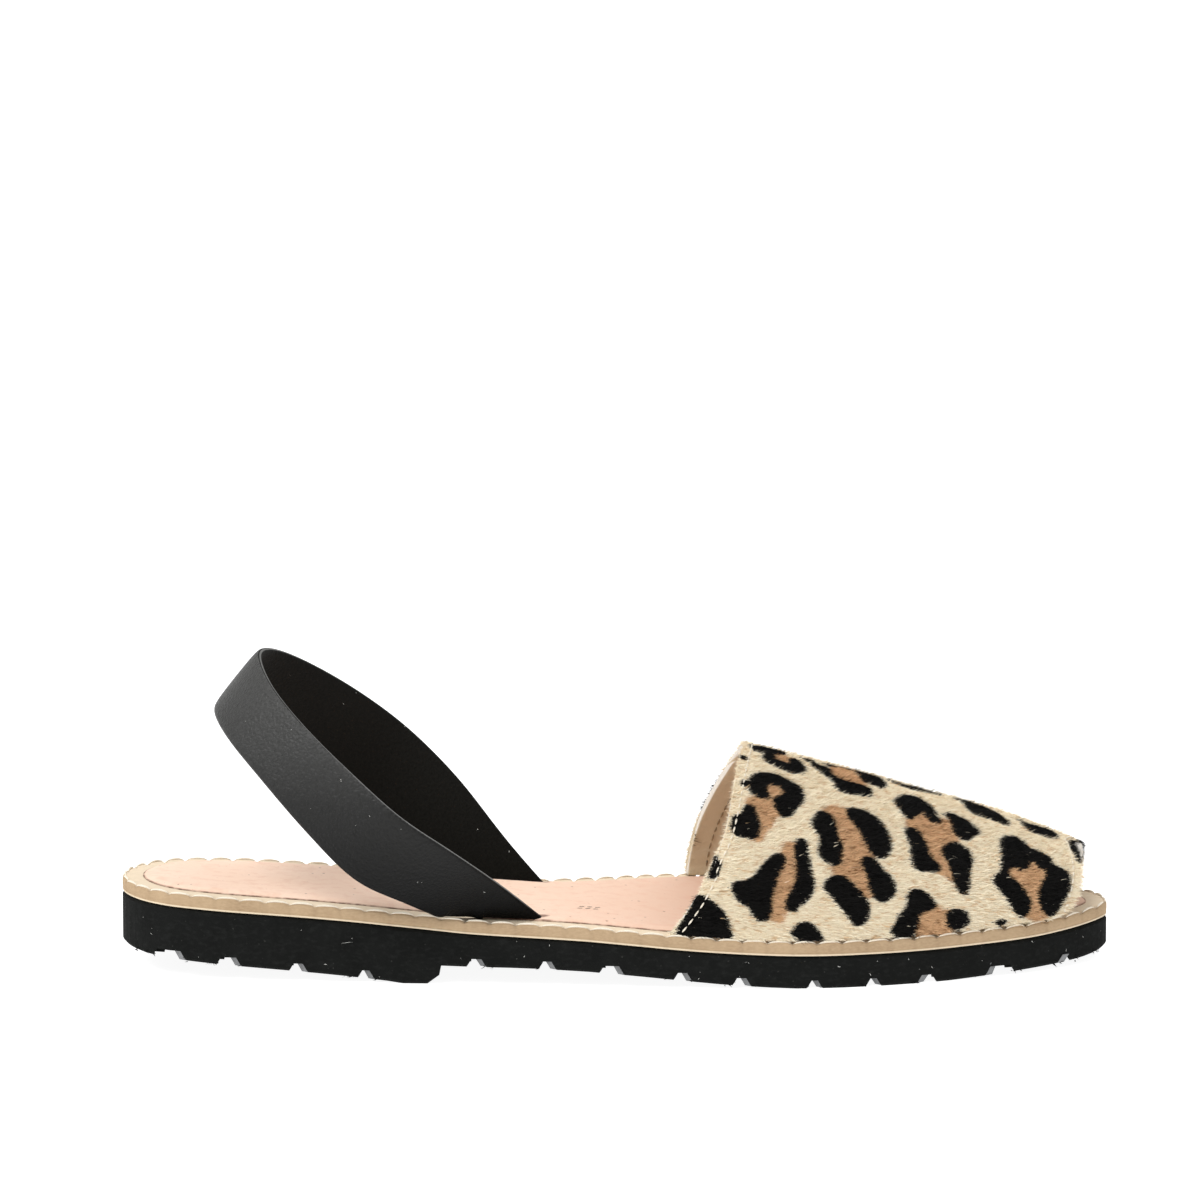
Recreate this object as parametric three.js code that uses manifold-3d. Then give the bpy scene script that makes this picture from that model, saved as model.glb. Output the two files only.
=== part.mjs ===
import * as THREE from "three";
import { mergeVertices } from "three/addons/utils/BufferGeometryUtils.js";
import Module from "manifold-3d";

const wasm = await Module();
wasm.setup();

// Right flat sandal with a peep toe vamp and a sling strap round the heel.
// Millimetres. X runs from heel to toe, Y towards the inner side of the foot, Z up.
// The model is laid out from the back of the heel at floor level, and is moved at
// the end so that the origin lies under the middle of its box.

// Driving sizes of the sole
const SOLE_LENGTH = 262;
const BALL_WIDTH = 92.5;
const HEEL_WIDTH = 59;
const FOREPART_RUBBER = 8.3;
const HEEL_RISE = 11;
const ARCH_HEIGHT = 4.9;
const TOE_RISE = 3.1;
const HEEL_BACK_LIFT = 6;
const HEEL_LIFT_POWER = 0.8;
const HEEL_LENGTH = 85.2;
const HEEL_FLAT = 6.5;
const BREAST_CHAMFER = 1.8;
const BREAST_RUN = 0.5;
const RUBBER_EDGE = 0.7;
const MIDSOLE_THICKNESS = 3.6;
const MIDSOLE_EDGE = 0.4;
const INSOLE_THICKNESS = 1.2;
const INSOLE_MARGIN = 5.5;
const SEAT_GAP = 0.3;

// Driving sizes of the lugs
const NOTCH_HEIGHT = 2.2;
const NOTCH_REACH = 8;
const NOTCH_TAPER = 2.6;
const GROOVE_WIDTH = 3;
const GROOVE_DEPTH = 1.3;

// Driving sizes of the vamp
const UPPER_MARGIN = 2.9;
const UPPER_WALL = 2.2;
const THROAT_HEIGHT = 41;
const TOE_OUTER_SETBACK = 15;
const TOE_INNER_SETBACK = 10;
const TOE_CROWN_SETBACK = 10;
const VAMP_OUTER_LENGTH = 102;
const VAMP_INNER_LENGTH = 102.4;
const VAMP_CROWN_LENGTH = 87.5;
const TOE_RIM_BULGE = 4;
const CROWN_SHIFT = 5;

// Driving sizes of the heel strap
const STRAP_THICKNESS = 2.6;
const STRAP_FOOT = 112.8;
const STRAP_REACH = 75.8;
const STRAP_RISE = 66.4;
const STRAP_SPREAD = 44;
const STRAP_SLANT = 12.2;
const STRAP_DROP = 17.7;
const STRAP_FOOT_OFFSET = 4.4;
const STRAP_LEAN = 4.6;

// Plan outline: share of the length, then the middle line and the half width as
// shares of the local width, which grows from HEEL_WIDTH to BALL_WIDTH.
const outline = [
  { along: 0.000, middle: 0.000, half: 0.000 },
  { along: 0.012, middle: 0.000, half: 0.222 },
  { along: 0.031, middle: 0.000, half: 0.340 },
  { along: 0.061, middle: 0.000, half: 0.430 },
  { along: 0.115, middle: -0.002, half: 0.484 },
  { along: 0.172, middle: -0.003, half: 0.502 },
  { along: 0.229, middle: -0.014, half: 0.510 },
  { along: 0.286, middle: -0.034, half: 0.514 },
  { along: 0.344, middle: -0.053, half: 0.506 },
  { along: 0.401, middle: -0.065, half: 0.459 },
  { along: 0.427, middle: -0.060, half: 0.443 },
  { along: 0.458, middle: -0.036, half: 0.440 },
  { along: 0.496, middle: -0.001, half: 0.451 },
  { along: 0.534, middle: 0.036, half: 0.470 },
  { along: 0.573, middle: 0.063, half: 0.487 },
  { along: 0.611, middle: 0.074, half: 0.497 },
  { along: 0.656, middle: 0.074, half: 0.500 },
  { along: 0.706, middle: 0.074, half: 0.492 },
  { along: 0.763, middle: 0.081, half: 0.465 },
  { along: 0.809, middle: 0.091, half: 0.430 },
  { along: 0.859, middle: 0.102, half: 0.383 },
  { along: 0.916, middle: 0.111, half: 0.312 },
  { along: 0.954, middle: 0.115, half: 0.236 },
  { along: 0.977, middle: 0.110, half: 0.166 },
  { along: 0.992, middle: 0.097, half: 0.097 },
  { along: 1.000, middle: 0.081, half: 0.000 },
];
const WIDENING_START = 0.3;
const WIDENING_END = 0.6;

// Side profile of the sole: rise is the share of HEEL_RISE and spring the share of
// TOE_RISE that the top of the rubber stands above the forepart.
const bed = [
  { along: 0.000, rise: 1.000, spring: 0.00 },
  { along: 0.061, rise: 0.945, spring: 0.00 },
  { along: 0.118, rise: 0.873, spring: 0.00 },
  { along: 0.176, rise: 0.790, spring: 0.00 },
  { along: 0.233, rise: 0.695, spring: 0.00 },
  { along: 0.290, rise: 0.580, spring: 0.00 },
  { along: 0.344, rise: 0.470, spring: 0.00 },
  { along: 0.401, rise: 0.400, spring: 0.00 },
  { along: 0.458, rise: 0.340, spring: 0.00 },
  { along: 0.515, rise: 0.240, spring: 0.00 },
  { along: 0.573, rise: 0.125, spring: 0.00 },
  { along: 0.630, rise: 0.045, spring: 0.00 },
  { along: 0.700, rise: 0.000, spring: 0.00 },
  { along: 0.802, rise: 0.000, spring: 0.02 },
  { along: 0.859, rise: 0.000, spring: 0.14 },
  { along: 0.916, rise: 0.000, spring: 0.31 },
  { along: 0.973, rise: 0.000, spring: 0.67 },
  { along: 1.000, rise: 0.000, spring: 0.92 },
];

// Underside of the forepart: arch is the share of ARCH_HEIGHT, spring of TOE_RISE.
const underside = [
  { along: 0.320, arch: 1.00, spring: 0.00 },
  { along: 0.401, arch: 0.96, spring: 0.00 },
  { along: 0.458, arch: 0.86, spring: 0.00 },
  { along: 0.515, arch: 0.65, spring: 0.00 },
  { along: 0.573, arch: 0.38, spring: 0.00 },
  { along: 0.611, arch: 0.20, spring: 0.00 },
  { along: 0.656, arch: 0.06, spring: 0.00 },
  { along: 0.680, arch: 0.00, spring: 0.00 },
  { along: 0.820, arch: 0.00, spring: 0.00 },
  { along: 0.859, arch: 0.00, spring: 0.12 },
  { along: 0.916, arch: 0.00, spring: 0.38 },
  { along: 0.973, arch: 0.00, spring: 0.62 },
  { along: 1.000, arch: 0.00, spring: 1.05 },
];

// Notches between the lugs: middle and width at the edge, as shares of the length.
const notches = [
  { along: 0.051, width: 0.034 },
  { along: 0.112, width: 0.025 },
  { along: 0.182, width: 0.019 },
  { along: 0.250, width: 0.017 },
  { along: 0.361, width: 0.020 },
  { along: 0.432, width: 0.018 },
  { along: 0.496, width: 0.025 },
  { along: 0.567, width: 0.019 },
  { along: 0.626, width: 0.019 },
  { along: 0.699, width: 0.016 },
  { along: 0.758, width: 0.016 },
  { along: 0.812, width: 0.020 },
  { along: 0.887, width: 0.030 },
  { along: 0.953, width: 0.013 },
];

// Ridge of the vamp from throat to toe: height is the share of THROAT_HEIGHT.
const ridge = [
  { along: 0.00, height: 1.000 },
  { along: 0.26, height: 0.862 },
  { along: 0.52, height: 0.702 },
  { along: 0.78, height: 0.525 },
  { along: 0.91, height: 0.405 },
  { along: 1.00, height: 0.305 },
];
const ARCH_ROUNDNESS = 2.05;
const OUTER_LEAN_POWER = 2.2;
const INNER_LEAN_POWER = 1.7;
const RIM_BULGE_POWER = 5;

// Half of the strap's upper edge, from below the foot to the middle of the back:
// reach, rise and spread are shares of the strap's sizes of the same name, drop is
// the share of STRAP_DROP down to the lower edge, and tuck how far that edge lies
// further in, as a share of STRAP_SPREAD.
const strapRows = [
  { reach: -0.135, rise: -0.155, spread: 0.450, drop: 0.68, tuck: 0.10, lean: 0.00 },
  { reach: 0.000, rise: 0.000, spread: 0.545, drop: 0.68, tuck: 0.10, lean: 0.00 },
  { reach: 0.149, rise: 0.166, spread: 0.730, drop: 0.68, tuck: 0.13, lean: 0.10 },
  { reach: 0.318, rise: 0.357, spread: 0.930, drop: 0.85, tuck: 0.12, lean: 0.55 },
  { reach: 0.491, rise: 0.523, spread: 0.980, drop: 1.00, tuck: 0.09, lean: 0.95 },
  { reach: 0.660, rise: 0.682, spread: 0.850, drop: 0.93, tuck: 0.06, lean: 1.00 },
  { reach: 0.832, rise: 0.836, spread: 0.640, drop: 0.80, tuck: 0.03, lean: 0.80 },
  { reach: 0.950, rise: 0.945, spread: 0.380, drop: 0.80, tuck: 0.01, lean: 0.45 },
  { reach: 1.000, rise: 1.000, spread: 0.000, drop: 0.88, tuck: 0.00, lean: 0.00 },
];

// Mesh density, and the shares of the length used to find directions on a curve
const SOLE_STATIONS = 58;
const SOLE_FIRST_STATION = 0.012;
const SOLE_LAST_STATION = 0.988;
const STATION_CLEARANCE = 0.004;
const EDGE_PROBE = 0.002;
const VAMP_PROBE = 0.004;
const WELD_TOLERANCE = 1e-4;
const UPPER_ROWS = 22;
const UPPER_COLUMNS = 30;
const STRAP_STATIONS = 56;
const STRAP_EDGE_STEPS = 3;

// Smooth curve through one column of a table that never overshoots its rows
function tableCurve(rows, column, power = 1) {
  const xs = rows.map((row) => row.along);
  const ys = rows.map((row) => row[column] ** power);
  const last = xs.length - 1;
  const slope = xs.slice(1).map((x, i) => (ys[i + 1] - ys[i]) / (x - xs[i]));
  const tangent = ys.map((y, i) => {
    if (i === 0) return slope[0];
    if (i === last) return slope[last - 1];
    if (slope[i - 1] * slope[i] <= 0) return 0;
    return 2 / (1 / slope[i - 1] + 1 / slope[i]);
  });
  return (along) => {
    const x = THREE.MathUtils.clamp(along, xs[0], xs[last]);
    let i = 0;
    while (i < last - 1 && x > xs[i + 1]) i += 1;
    const h = xs[i + 1] - xs[i];
    const t = (x - xs[i]) / h;
    const rise = t * t * (3 - 2 * t);
    const value = ys[i] + (ys[i + 1] - ys[i]) * rise
      + h * t * (1 - t) * (tangent[i] * (1 - t) - tangent[i + 1] * t);
    return Math.sign(value) * Math.abs(value) ** (1 / power);
  };
}

const middleShare = tableCurve(outline, "middle");
const halfShare = tableCurve(outline, "half", 2);
const bedRise = tableCurve(bed, "rise");
const bedSpring = tableCurve(bed, "spring");
const archShare = tableCurve(underside, "arch");
const undersideSpring = tableCurve(underside, "spring");
const ridgeShare = tableCurve(ridge, "height");

// Plan outline of the sole
function localWidth(along) {
  const grown = THREE.MathUtils.smoothstep(along, WIDENING_START, WIDENING_END);
  return THREE.MathUtils.lerp(HEEL_WIDTH, BALL_WIDTH, grown);
}

// side is -1 for the outer edge of the foot and 1 for the inner edge
function edgePoint(station, side) {
  const along = (1 - Math.cos(Math.PI * station)) / 2;
  const y = (middleShare(along) + side * halfShare(along)) * localWidth(along);
  return new THREE.Vector2(along * SOLE_LENGTH, y);
}

function insetPoint(station, side, inset) {
  const before = edgePoint(Math.max(station - EDGE_PROBE, 0), side);
  const after = edgePoint(Math.min(station + EDGE_PROBE, 1), side);
  const tangent = after.sub(before).normalize();
  const inward = new THREE.Vector2(side * tangent.y, -side * tangent.x);
  return edgePoint(station, side).addScaledVector(inward, inset);
}

// Station whose edge point lies at a given distance from the back of the heel
function stationAt(x) {
  return Math.acos(1 - 2 * x / SOLE_LENGTH) / Math.PI;
}

// Heights along the sole
function rubberTop(x) {
  const along = x / SOLE_LENGTH;
  return FOREPART_RUBBER + HEEL_RISE * bedRise(along) + TOE_RISE * bedSpring(along);
}

const heelFlatEnd = HEEL_LENGTH - 2 * BREAST_CHAMFER;
const heelFlatStart = heelFlatEnd - HEEL_FLAT;
const breastFoot = HEEL_LENGTH - BREAST_RUN;

function archBottom(x) {
  const along = x / SOLE_LENGTH;
  return ARCH_HEIGHT * archShare(along) + TOE_RISE * undersideSpring(along);
}

function rubberBottom(x) {
  if (x <= heelFlatStart) {
    return HEEL_BACK_LIFT * ((heelFlatStart - x) / heelFlatStart) ** HEEL_LIFT_POWER;
  }
  if (x <= heelFlatEnd) return 0;
  if (x <= breastFoot) return BREAST_CHAMFER * (x - heelFlatEnd) / (breastFoot - heelFlatEnd);
  if (x <= HEEL_LENGTH) {
    const share = (x - breastFoot) / BREAST_RUN;
    return THREE.MathUtils.lerp(BREAST_CHAMFER, archBottom(HEEL_LENGTH), share);
  }
  return archBottom(x);
}

function midsoleBottom(x) {
  return rubberTop(x) + SEAT_GAP;
}

function midsoleTop(x) {
  return midsoleBottom(x) + MIDSOLE_THICKNESS;
}

function insoleTop(x) {
  return midsoleTop(x) + SEAT_GAP + INSOLE_THICKNESS;
}

// Closed body through rings of equal length, each ring counter-clockwise seen
// from the last ring looking back at the first
function ringBody(rings) {
  const count = rings[0].length;
  const positions = [];
  const index = [];
  for (const ring of rings) {
    for (const point of ring) positions.push(point.x, point.y, point.z);
  }
  for (let i = 0; i + 1 < rings.length; i += 1) {
    for (let j = 0; j < count; j += 1) {
      const k = (j + 1) % count;
      const a = i * count + j;
      const b = i * count + k;
      index.push(a, b, b + count, a, b + count, a + count);
    }
  }
  const start = THREE.ShapeUtils.triangulateShape(flatten(rings[0]), []);
  for (const [a, b, c] of start) index.push(a, c, b);
  const base = (rings.length - 1) * count;
  const end = THREE.ShapeUtils.triangulateShape(flatten(rings[rings.length - 1]), []);
  for (const [a, b, c] of end) index.push(base + a, base + b, base + c);
  const geometry = new THREE.BufferGeometry();
  geometry.setAttribute("position", new THREE.Float32BufferAttribute(positions, 3));
  geometry.setIndex(index);
  return geometry;
}

// A ring's points in the plane of the ring
function flatten(ring) {
  const centre = ring.reduce((sum, p) => sum.add(p), new THREE.Vector3());
  centre.divideScalar(ring.length);
  const normal = new THREE.Vector3();
  ring.forEach((p, i) => {
    const a = p.clone().sub(centre);
    const b = ring[(i + 1) % ring.length].clone().sub(centre);
    normal.add(a.cross(b));
  });
  normal.normalize();
  const across = ring[1].clone().sub(ring[0]).normalize();
  const up = new THREE.Vector3().crossVectors(normal, across);
  return ring.map((p) => {
    const offset = p.clone().sub(centre);
    return new THREE.Vector2(offset.dot(across), offset.dot(up));
  });
}

function toSolid(geometry) {
  const bare = geometry.clone();
  for (const name of Object.keys(bare.attributes)) {
    if (name !== "position") bare.deleteAttribute(name);
  }
  const merged = mergeVertices(bare, WELD_TOLERANCE);
  return new wasm.Manifold(new wasm.Mesh({
    numProp: 3,
    vertProperties: new Float32Array(merged.attributes.position.array),
    triVerts: new Uint32Array(merged.index.array),
  }));
}

function toGeometry(solid) {
  const mesh = solid.getMesh();
  const geometry = new THREE.BufferGeometry();
  geometry.setAttribute("position", new THREE.BufferAttribute(mesh.vertProperties, 3));
  geometry.setIndex(new THREE.BufferAttribute(mesh.triVerts, 1));
  return geometry;
}

function namedMesh(name, geometry, color, roughness) {
  const material = new THREE.MeshStandardMaterial({ color, roughness, metalness: 0 });
  geometry.computeVertexNormals();
  const mesh = new THREE.Mesh(geometry, material);
  mesh.name = name;
  return mesh;
}

// Stations of a sole layer, with extra ones where its side profile has corners
function soleStations(corners) {
  const stations = [];
  for (let i = 0; i <= SOLE_STATIONS; i += 1) {
    const share = i / SOLE_STATIONS;
    stations.push(THREE.MathUtils.lerp(SOLE_FIRST_STATION, SOLE_LAST_STATION, share));
  }
  const marks = corners.map(stationAt);
  const isFree = (s) => marks.every((mark) => Math.abs(mark - s) > STATION_CLEARANCE);
  return stations.filter(isFree).concat(marks).sort((a, b) => a - b);
}

// A layer of the sole: an outline set in by a margin, between two height curves,
// with its four long edges bevelled
function soleLayer({ margin, bottom, top, bevel, corners = [] }) {
  const rings = soleStations(corners).map((station) => {
    const rim = (side, inset, height, offset) => {
      const p = insetPoint(station, side, inset);
      return new THREE.Vector3(p.x, p.y, height(p.x) + offset);
    };
    return [
      rim(-1, margin + bevel, bottom, 0),
      rim(1, margin + bevel, bottom, 0),
      rim(1, margin, bottom, bevel),
      rim(1, margin, top, -bevel),
      rim(1, margin + bevel, top, 0),
      rim(-1, margin + bevel, top, 0),
      rim(-1, margin, top, -bevel),
      rim(-1, margin, bottom, bevel),
    ];
  });
  return ringBody(rings);
}

// A cutter for one notch on one side, and the groove that crosses the tread there
function notchCutter(x, width, side) {
  const edge = edgePoint(stationAt(x), side).y;
  const floor = rubberBottom(x);
  const shape = new THREE.Shape();
  const foot = width / 2 + NOTCH_TAPER / 2;
  const head = width / 2 - NOTCH_TAPER / 2;
  shape.moveTo(-foot, -NOTCH_HEIGHT);
  shape.lineTo(foot, -NOTCH_HEIGHT);
  shape.lineTo(head, NOTCH_HEIGHT);
  shape.lineTo(-head, NOTCH_HEIGHT);
  shape.closePath();
  const depth = 2 * NOTCH_REACH;
  const geometry = new THREE.ExtrudeGeometry(shape, { depth, bevelEnabled: false });
  geometry.rotateX(Math.PI / 2);
  geometry.translate(x, edge + depth / 2, floor);
  return toSolid(geometry);
}

function grooveCutter(x) {
  const station = stationAt(x);
  const outer = edgePoint(station, -1).y;
  const inner = edgePoint(station, 1).y;
  const span = inner - outer - NOTCH_REACH;
  const geometry = new THREE.BoxGeometry(GROOVE_WIDTH, span, 2 * GROOVE_DEPTH);
  geometry.translate(x, (inner + outer) / 2, rubberBottom(x));
  return toSolid(geometry);
}

function makeOutsole() {
  const corners = [heelFlatStart, heelFlatEnd, breastFoot, HEEL_LENGTH];
  let body = toSolid(soleLayer({
    margin: 0,
    bottom: rubberBottom,
    top: rubberTop,
    bevel: RUBBER_EDGE,
    corners,
  }));
  for (const notch of notches) {
    const x = notch.along * SOLE_LENGTH;
    for (const side of [-1, 1]) {
      body = body.subtract(notchCutter(x, notch.width * SOLE_LENGTH, side));
    }
    body = body.subtract(grooveCutter(x));
  }
  return namedMesh("outsole", toGeometry(body), 0x1c1d1c, 0.85);
}

function makeMidsole() {
  const geometry = soleLayer({
    margin: 0,
    bottom: midsoleBottom,
    top: midsoleTop,
    bevel: MIDSOLE_EDGE,
  });
  return namedMesh("midsole", toGeometry(toSolid(geometry)), 0xc4a47c, 0.8);
}

// Vamp: a bent sheet over the forefoot, open at throat, toe and underneath.
// along runs from the throat to the toe and turn from the outer foot over the
// ridge to the inner foot.
function vampPoint(along, turn) {
  const outerX = SOLE_LENGTH - TOE_OUTER_SETBACK - VAMP_OUTER_LENGTH * (1 - along);
  const innerX = SOLE_LENGTH - TOE_INNER_SETBACK - VAMP_INNER_LENGTH * (1 - along);
  const crownX = SOLE_LENGTH - TOE_CROWN_SETBACK - VAMP_CROWN_LENGTH * (1 - along);
  const outer = insetPoint(stationAt(outerX), -1, UPPER_MARGIN);
  const inner = insetPoint(stationAt(innerX), 1, UPPER_MARGIN);
  const angle = Math.PI * turn;
  const cosine = Math.cos(angle);
  const across = -Math.sign(cosine) * Math.abs(cosine) ** (2 / ARCH_ROUNDNESS);
  const height = Math.sin(angle) ** (2 / ARCH_ROUNDNESS);
  const share = (across + 1) / 2;
  const outerLean = 1 - (1 - height) ** OUTER_LEAN_POWER;
  const innerLean = height ** INNER_LEAN_POWER;
  const lean = THREE.MathUtils.lerp(outerLean, innerLean, share);
  const footX = THREE.MathUtils.lerp(outer.x, inner.x, share);
  const bulge = TOE_RIM_BULGE * along ** RIM_BULGE_POWER * Math.sqrt(4 * height * (1 - height));
  const x = footX + (crownX - (outer.x + inner.x) / 2) * lean + bulge;
  const y = THREE.MathUtils.lerp(outer.y, inner.y, share) + CROWN_SHIFT * height ** 2;
  const seat = midsoleTop(THREE.MathUtils.clamp(x, 0, SOLE_LENGTH)) + SEAT_GAP;
  const z = seat + THROAT_HEIGHT * ridgeShare(along) * height;
  return new THREE.Vector3(x, y, z);
}

function vampNormal(along, turn) {
  const a = vampPoint(Math.max(along - VAMP_PROBE, 0), turn);
  const b = vampPoint(Math.min(along + VAMP_PROBE, 1), turn);
  const safe = THREE.MathUtils.clamp(turn, 2 * VAMP_PROBE, 1 - 2 * VAMP_PROBE);
  const c = vampPoint(along, safe - VAMP_PROBE);
  const d = vampPoint(along, safe + VAMP_PROBE);
  return d.sub(c).cross(b.sub(a)).normalize();
}

function makeUpper() {
  const rings = [];
  for (let i = 0; i <= UPPER_ROWS; i += 1) {
    const along = i / UPPER_ROWS;
    const outside = [];
    const inside = [];
    for (let j = 0; j <= UPPER_COLUMNS; j += 1) {
      const turn = j / UPPER_COLUMNS;
      const point = vampPoint(along, turn);
      const normal = vampNormal(along, turn);
      const onFoot = j === 0 || j === UPPER_COLUMNS;
      if (onFoot) normal.setZ(0).normalize();
      const lining = point.clone().addScaledVector(normal, -UPPER_WALL);
      if (onFoot) lining.z = midsoleTop(lining.x) + SEAT_GAP;
      outside.push(point);
      inside.push(lining);
    }
    rings.push(outside.concat(inside.reverse()));
  }
  return namedMesh("upper", toGeometry(toSolid(ringBody(rings))), 0xe4cba3, 0.75);
}

// Heel strap: a flat band ruled between its upper and lower edge
function strapEdges() {
  const upper = [];
  const lower = [];
  const addRow = (row, side) => {
    const middle = -STRAP_FOOT_OFFSET * (1 - Math.max(row.reach, 0));
    const x = STRAP_FOOT - STRAP_REACH * row.reach;
    const y = middle + side * STRAP_SPREAD * row.spread;
    const seat = midsoleTop(STRAP_FOOT);
    const z = seat + STRAP_RISE * row.rise + side * STRAP_LEAN * row.lean;
    upper.push(new THREE.Vector3(x, y, z));
    lower.push(new THREE.Vector3(
      x - STRAP_SLANT,
      y - side * STRAP_SPREAD * row.tuck,
      z - STRAP_DROP * row.drop,
    ));
  };
  for (const row of strapRows) addRow(row, -1);
  for (const row of strapRows.slice(0, -1).reverse()) addRow(row, 1);
  return {
    upper: new THREE.CatmullRomCurve3(upper, false, "centripetal"),
    lower: new THREE.CatmullRomCurve3(lower, false, "centripetal"),
  };
}

// The band with round long edges, made fatter all round by a clearance
function strapBand(clearance) {
  const { upper, lower } = strapEdges();
  const radius = STRAP_THICKNESS / 2 + clearance;
  const rings = [];
  for (let i = 0; i <= STRAP_STATIONS; i += 1) {
    const t = i / STRAP_STATIONS;
    const top = upper.getPoint(t);
    const foot = lower.getPoint(t);
    const width = top.clone().sub(foot);
    const half = width.length() / 2 - STRAP_THICKNESS / 2;
    const across = width.normalize();
    const centre = top.clone().add(foot).multiplyScalar(0.5);
    const ahead = upper.getTangent(t).add(lower.getTangent(t)).normalize();
    const outward = new THREE.Vector3().crossVectors(across, ahead).normalize();
    const ring = [];
    for (const end of [1, -1]) {
      for (let k = 0; k <= STRAP_EDGE_STEPS; k += 1) {
        const angle = Math.PI * k / STRAP_EDGE_STEPS;
        const sideways = end * Math.cos(angle) * radius;
        const outwards = end * (half + Math.sin(angle) * radius);
        ring.push(centre.clone().addScaledVector(outward, sideways).addScaledVector(across, outwards));
      }
    }
    rings.push(ring);
  }
  return toSolid(ringBody(rings));
}

// Everything below the seat of the pieces that stand on the midsole
function belowSeat() {
  return toSolid(soleLayer({
    margin: -STRAP_THICKNESS,
    bottom: () => -STRAP_REACH,
    top: (x) => midsoleTop(THREE.MathUtils.clamp(x, 0, SOLE_LENGTH)) + SEAT_GAP,
    bevel: 0,
  }));
}

function makeStrap() {
  const band = strapBand(0).subtract(belowSeat());
  return namedMesh("heel_strap", toGeometry(band), 0x2d2e30, 0.55);
}

function makeInsole() {
  const sheet = toSolid(soleLayer({
    margin: INSOLE_MARGIN,
    bottom: (x) => midsoleTop(x) + SEAT_GAP,
    top: insoleTop,
    bevel: SEAT_GAP,
  }));
  const slotted = sheet.subtract(strapBand(SEAT_GAP));
  return namedMesh("insole", toGeometry(slotted), 0xf2d6c2, 0.7);
}

const group = new THREE.Group();
group.add(makeOutsole(), makeMidsole(), makeInsole(), makeUpper(), makeStrap());
group.updateMatrixWorld(true);
const box = new THREE.Box3().setFromObject(group);
const middle = box.getCenter(new THREE.Vector3());
group.position.set(-middle.x, -middle.y, -box.min.z);

export default group;
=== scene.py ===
import math

import bpy
import numpy as np
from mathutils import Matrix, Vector
from mathutils.bvhtree import BVHTree
from mathutils.kdtree import KDTree


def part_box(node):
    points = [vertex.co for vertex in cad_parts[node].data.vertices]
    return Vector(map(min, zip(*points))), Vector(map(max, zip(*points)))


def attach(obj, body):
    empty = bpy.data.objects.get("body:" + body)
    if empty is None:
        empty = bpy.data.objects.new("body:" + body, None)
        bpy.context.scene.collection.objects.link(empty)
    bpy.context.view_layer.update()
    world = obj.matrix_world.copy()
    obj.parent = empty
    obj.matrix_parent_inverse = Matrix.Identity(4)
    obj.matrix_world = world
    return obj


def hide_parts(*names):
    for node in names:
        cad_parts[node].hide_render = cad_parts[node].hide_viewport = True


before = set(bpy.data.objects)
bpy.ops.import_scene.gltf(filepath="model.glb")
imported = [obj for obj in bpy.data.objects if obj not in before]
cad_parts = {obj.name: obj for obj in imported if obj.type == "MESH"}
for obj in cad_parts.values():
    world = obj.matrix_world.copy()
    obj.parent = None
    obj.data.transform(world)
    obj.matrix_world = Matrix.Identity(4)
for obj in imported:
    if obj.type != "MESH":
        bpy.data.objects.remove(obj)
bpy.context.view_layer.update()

# Metres, unless a name or comment says millimetres. X runs from heel to toe, Y to the inner side
# of the foot and Z up.
MM = 0.001
rng = np.random.default_rng(7)

# Sizes of the sole layers, as the solids have them
MIDSOLE_THICKNESS = 3.6 * MM
MIDSOLE_EDGE = 0.4 * MM
SEAT_GAP = 0.3 * MM
INSOLE_THICKNESS = 1.2 * MM
INSOLE_MARGIN = 5.5 * MM

# Curve of the midsole's top
TOP_STEP = 0.5 * MM
TOP_MARGIN = 6 * MM
TOP_SMOOTHING = 7

# Welt: the tan edge of the midsole and its row of thread
OUTLINE_STEP = 0.7 * MM
STITCH_PITCH = 6.6 * MM
STITCH_LENGTH = 6.0 * MM
STITCH_INSET = 0.62 * MM
STITCH_RADIUS = 0.3 * MM
STITCH_ARCH = 0.3 * MM
SCALLOP_DEPTH = 0.6 * MM
SCALLOP_WIDTH = 0.75 * MM
HOLE_REACH = 0.5

# Torn rubber, whose tufts are spread along, across and up
TUFT_COUNT = 62
TUFT_HAIRS = 7
TUFT_SPREAD = np.array([0.9, 0.2, 0.3]) * MM
TUFT_RISE = 0.6 * MM
WHISKER_WIDTH = 0.36 * MM
WHISKER_LENGTHS = (0.4, 1.6)
LOWEST_ROOT, LOWEST_TIP = 0.35 * MM, 0.1 * MM

# Dust: specks on upright walls, a few of them drawn out into scratches; sizes in millimetres
LINT_ON_SOLE = 640
LINT_ON_STRAP = 50
LINT_SIZES = (0.06, 0.19)
LINT_STRETCH = (1, 3)
STEEPEST_LINT = 0.6
SCRATCH_SHARE = 0.05
SCRATCH_STRETCH = (8, 22)
SCRATCH_WIDTH = 0.6

# Notches between the lugs: middle from the heel and width, in millimetres
NOTCHES = [(13.4, 8.9), (29.3, 6.6), (47.7, 5.0), (65.5, 4.5), (94.6, 5.2), (113.2, 4.7),
           (130.0, 6.6), (148.6, 5.0), (164.0, 5.0), (183.1, 4.2), (198.6, 4.2), (212.7, 5.2),
           (232.4, 7.9), (249.7, 3.4)]
GROOVES_FROM_BEHIND = 11
TORN_ENDS = [(-1, 1.5), (-1, 5.0), (1, 4.0)]
GROOVE_SLANT = 1.8 * MM
GROOVE_SIDE = 1.6 * MM
TREAD_PROBES = (0.9, 1.1, 1.4)

# Insole
INSOLE_ROWS = 240
INSOLE_COLUMNS = 64
INSOLE_ROUNDING = 3.0 * MM
INSOLE_DROP = 0.95 * MM
INSOLE_SINK = 0.45 * MM

# Where the strap goes down beside the insole, which bulges up into a lip there
STRAP_FOOT_HEIGHT = 2.2 * MM
LIP_HEIGHT = 0.25 * MM
LIP_PLACE = 2.4 * MM
LIP_WIDTH = 1.2 * MM

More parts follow.
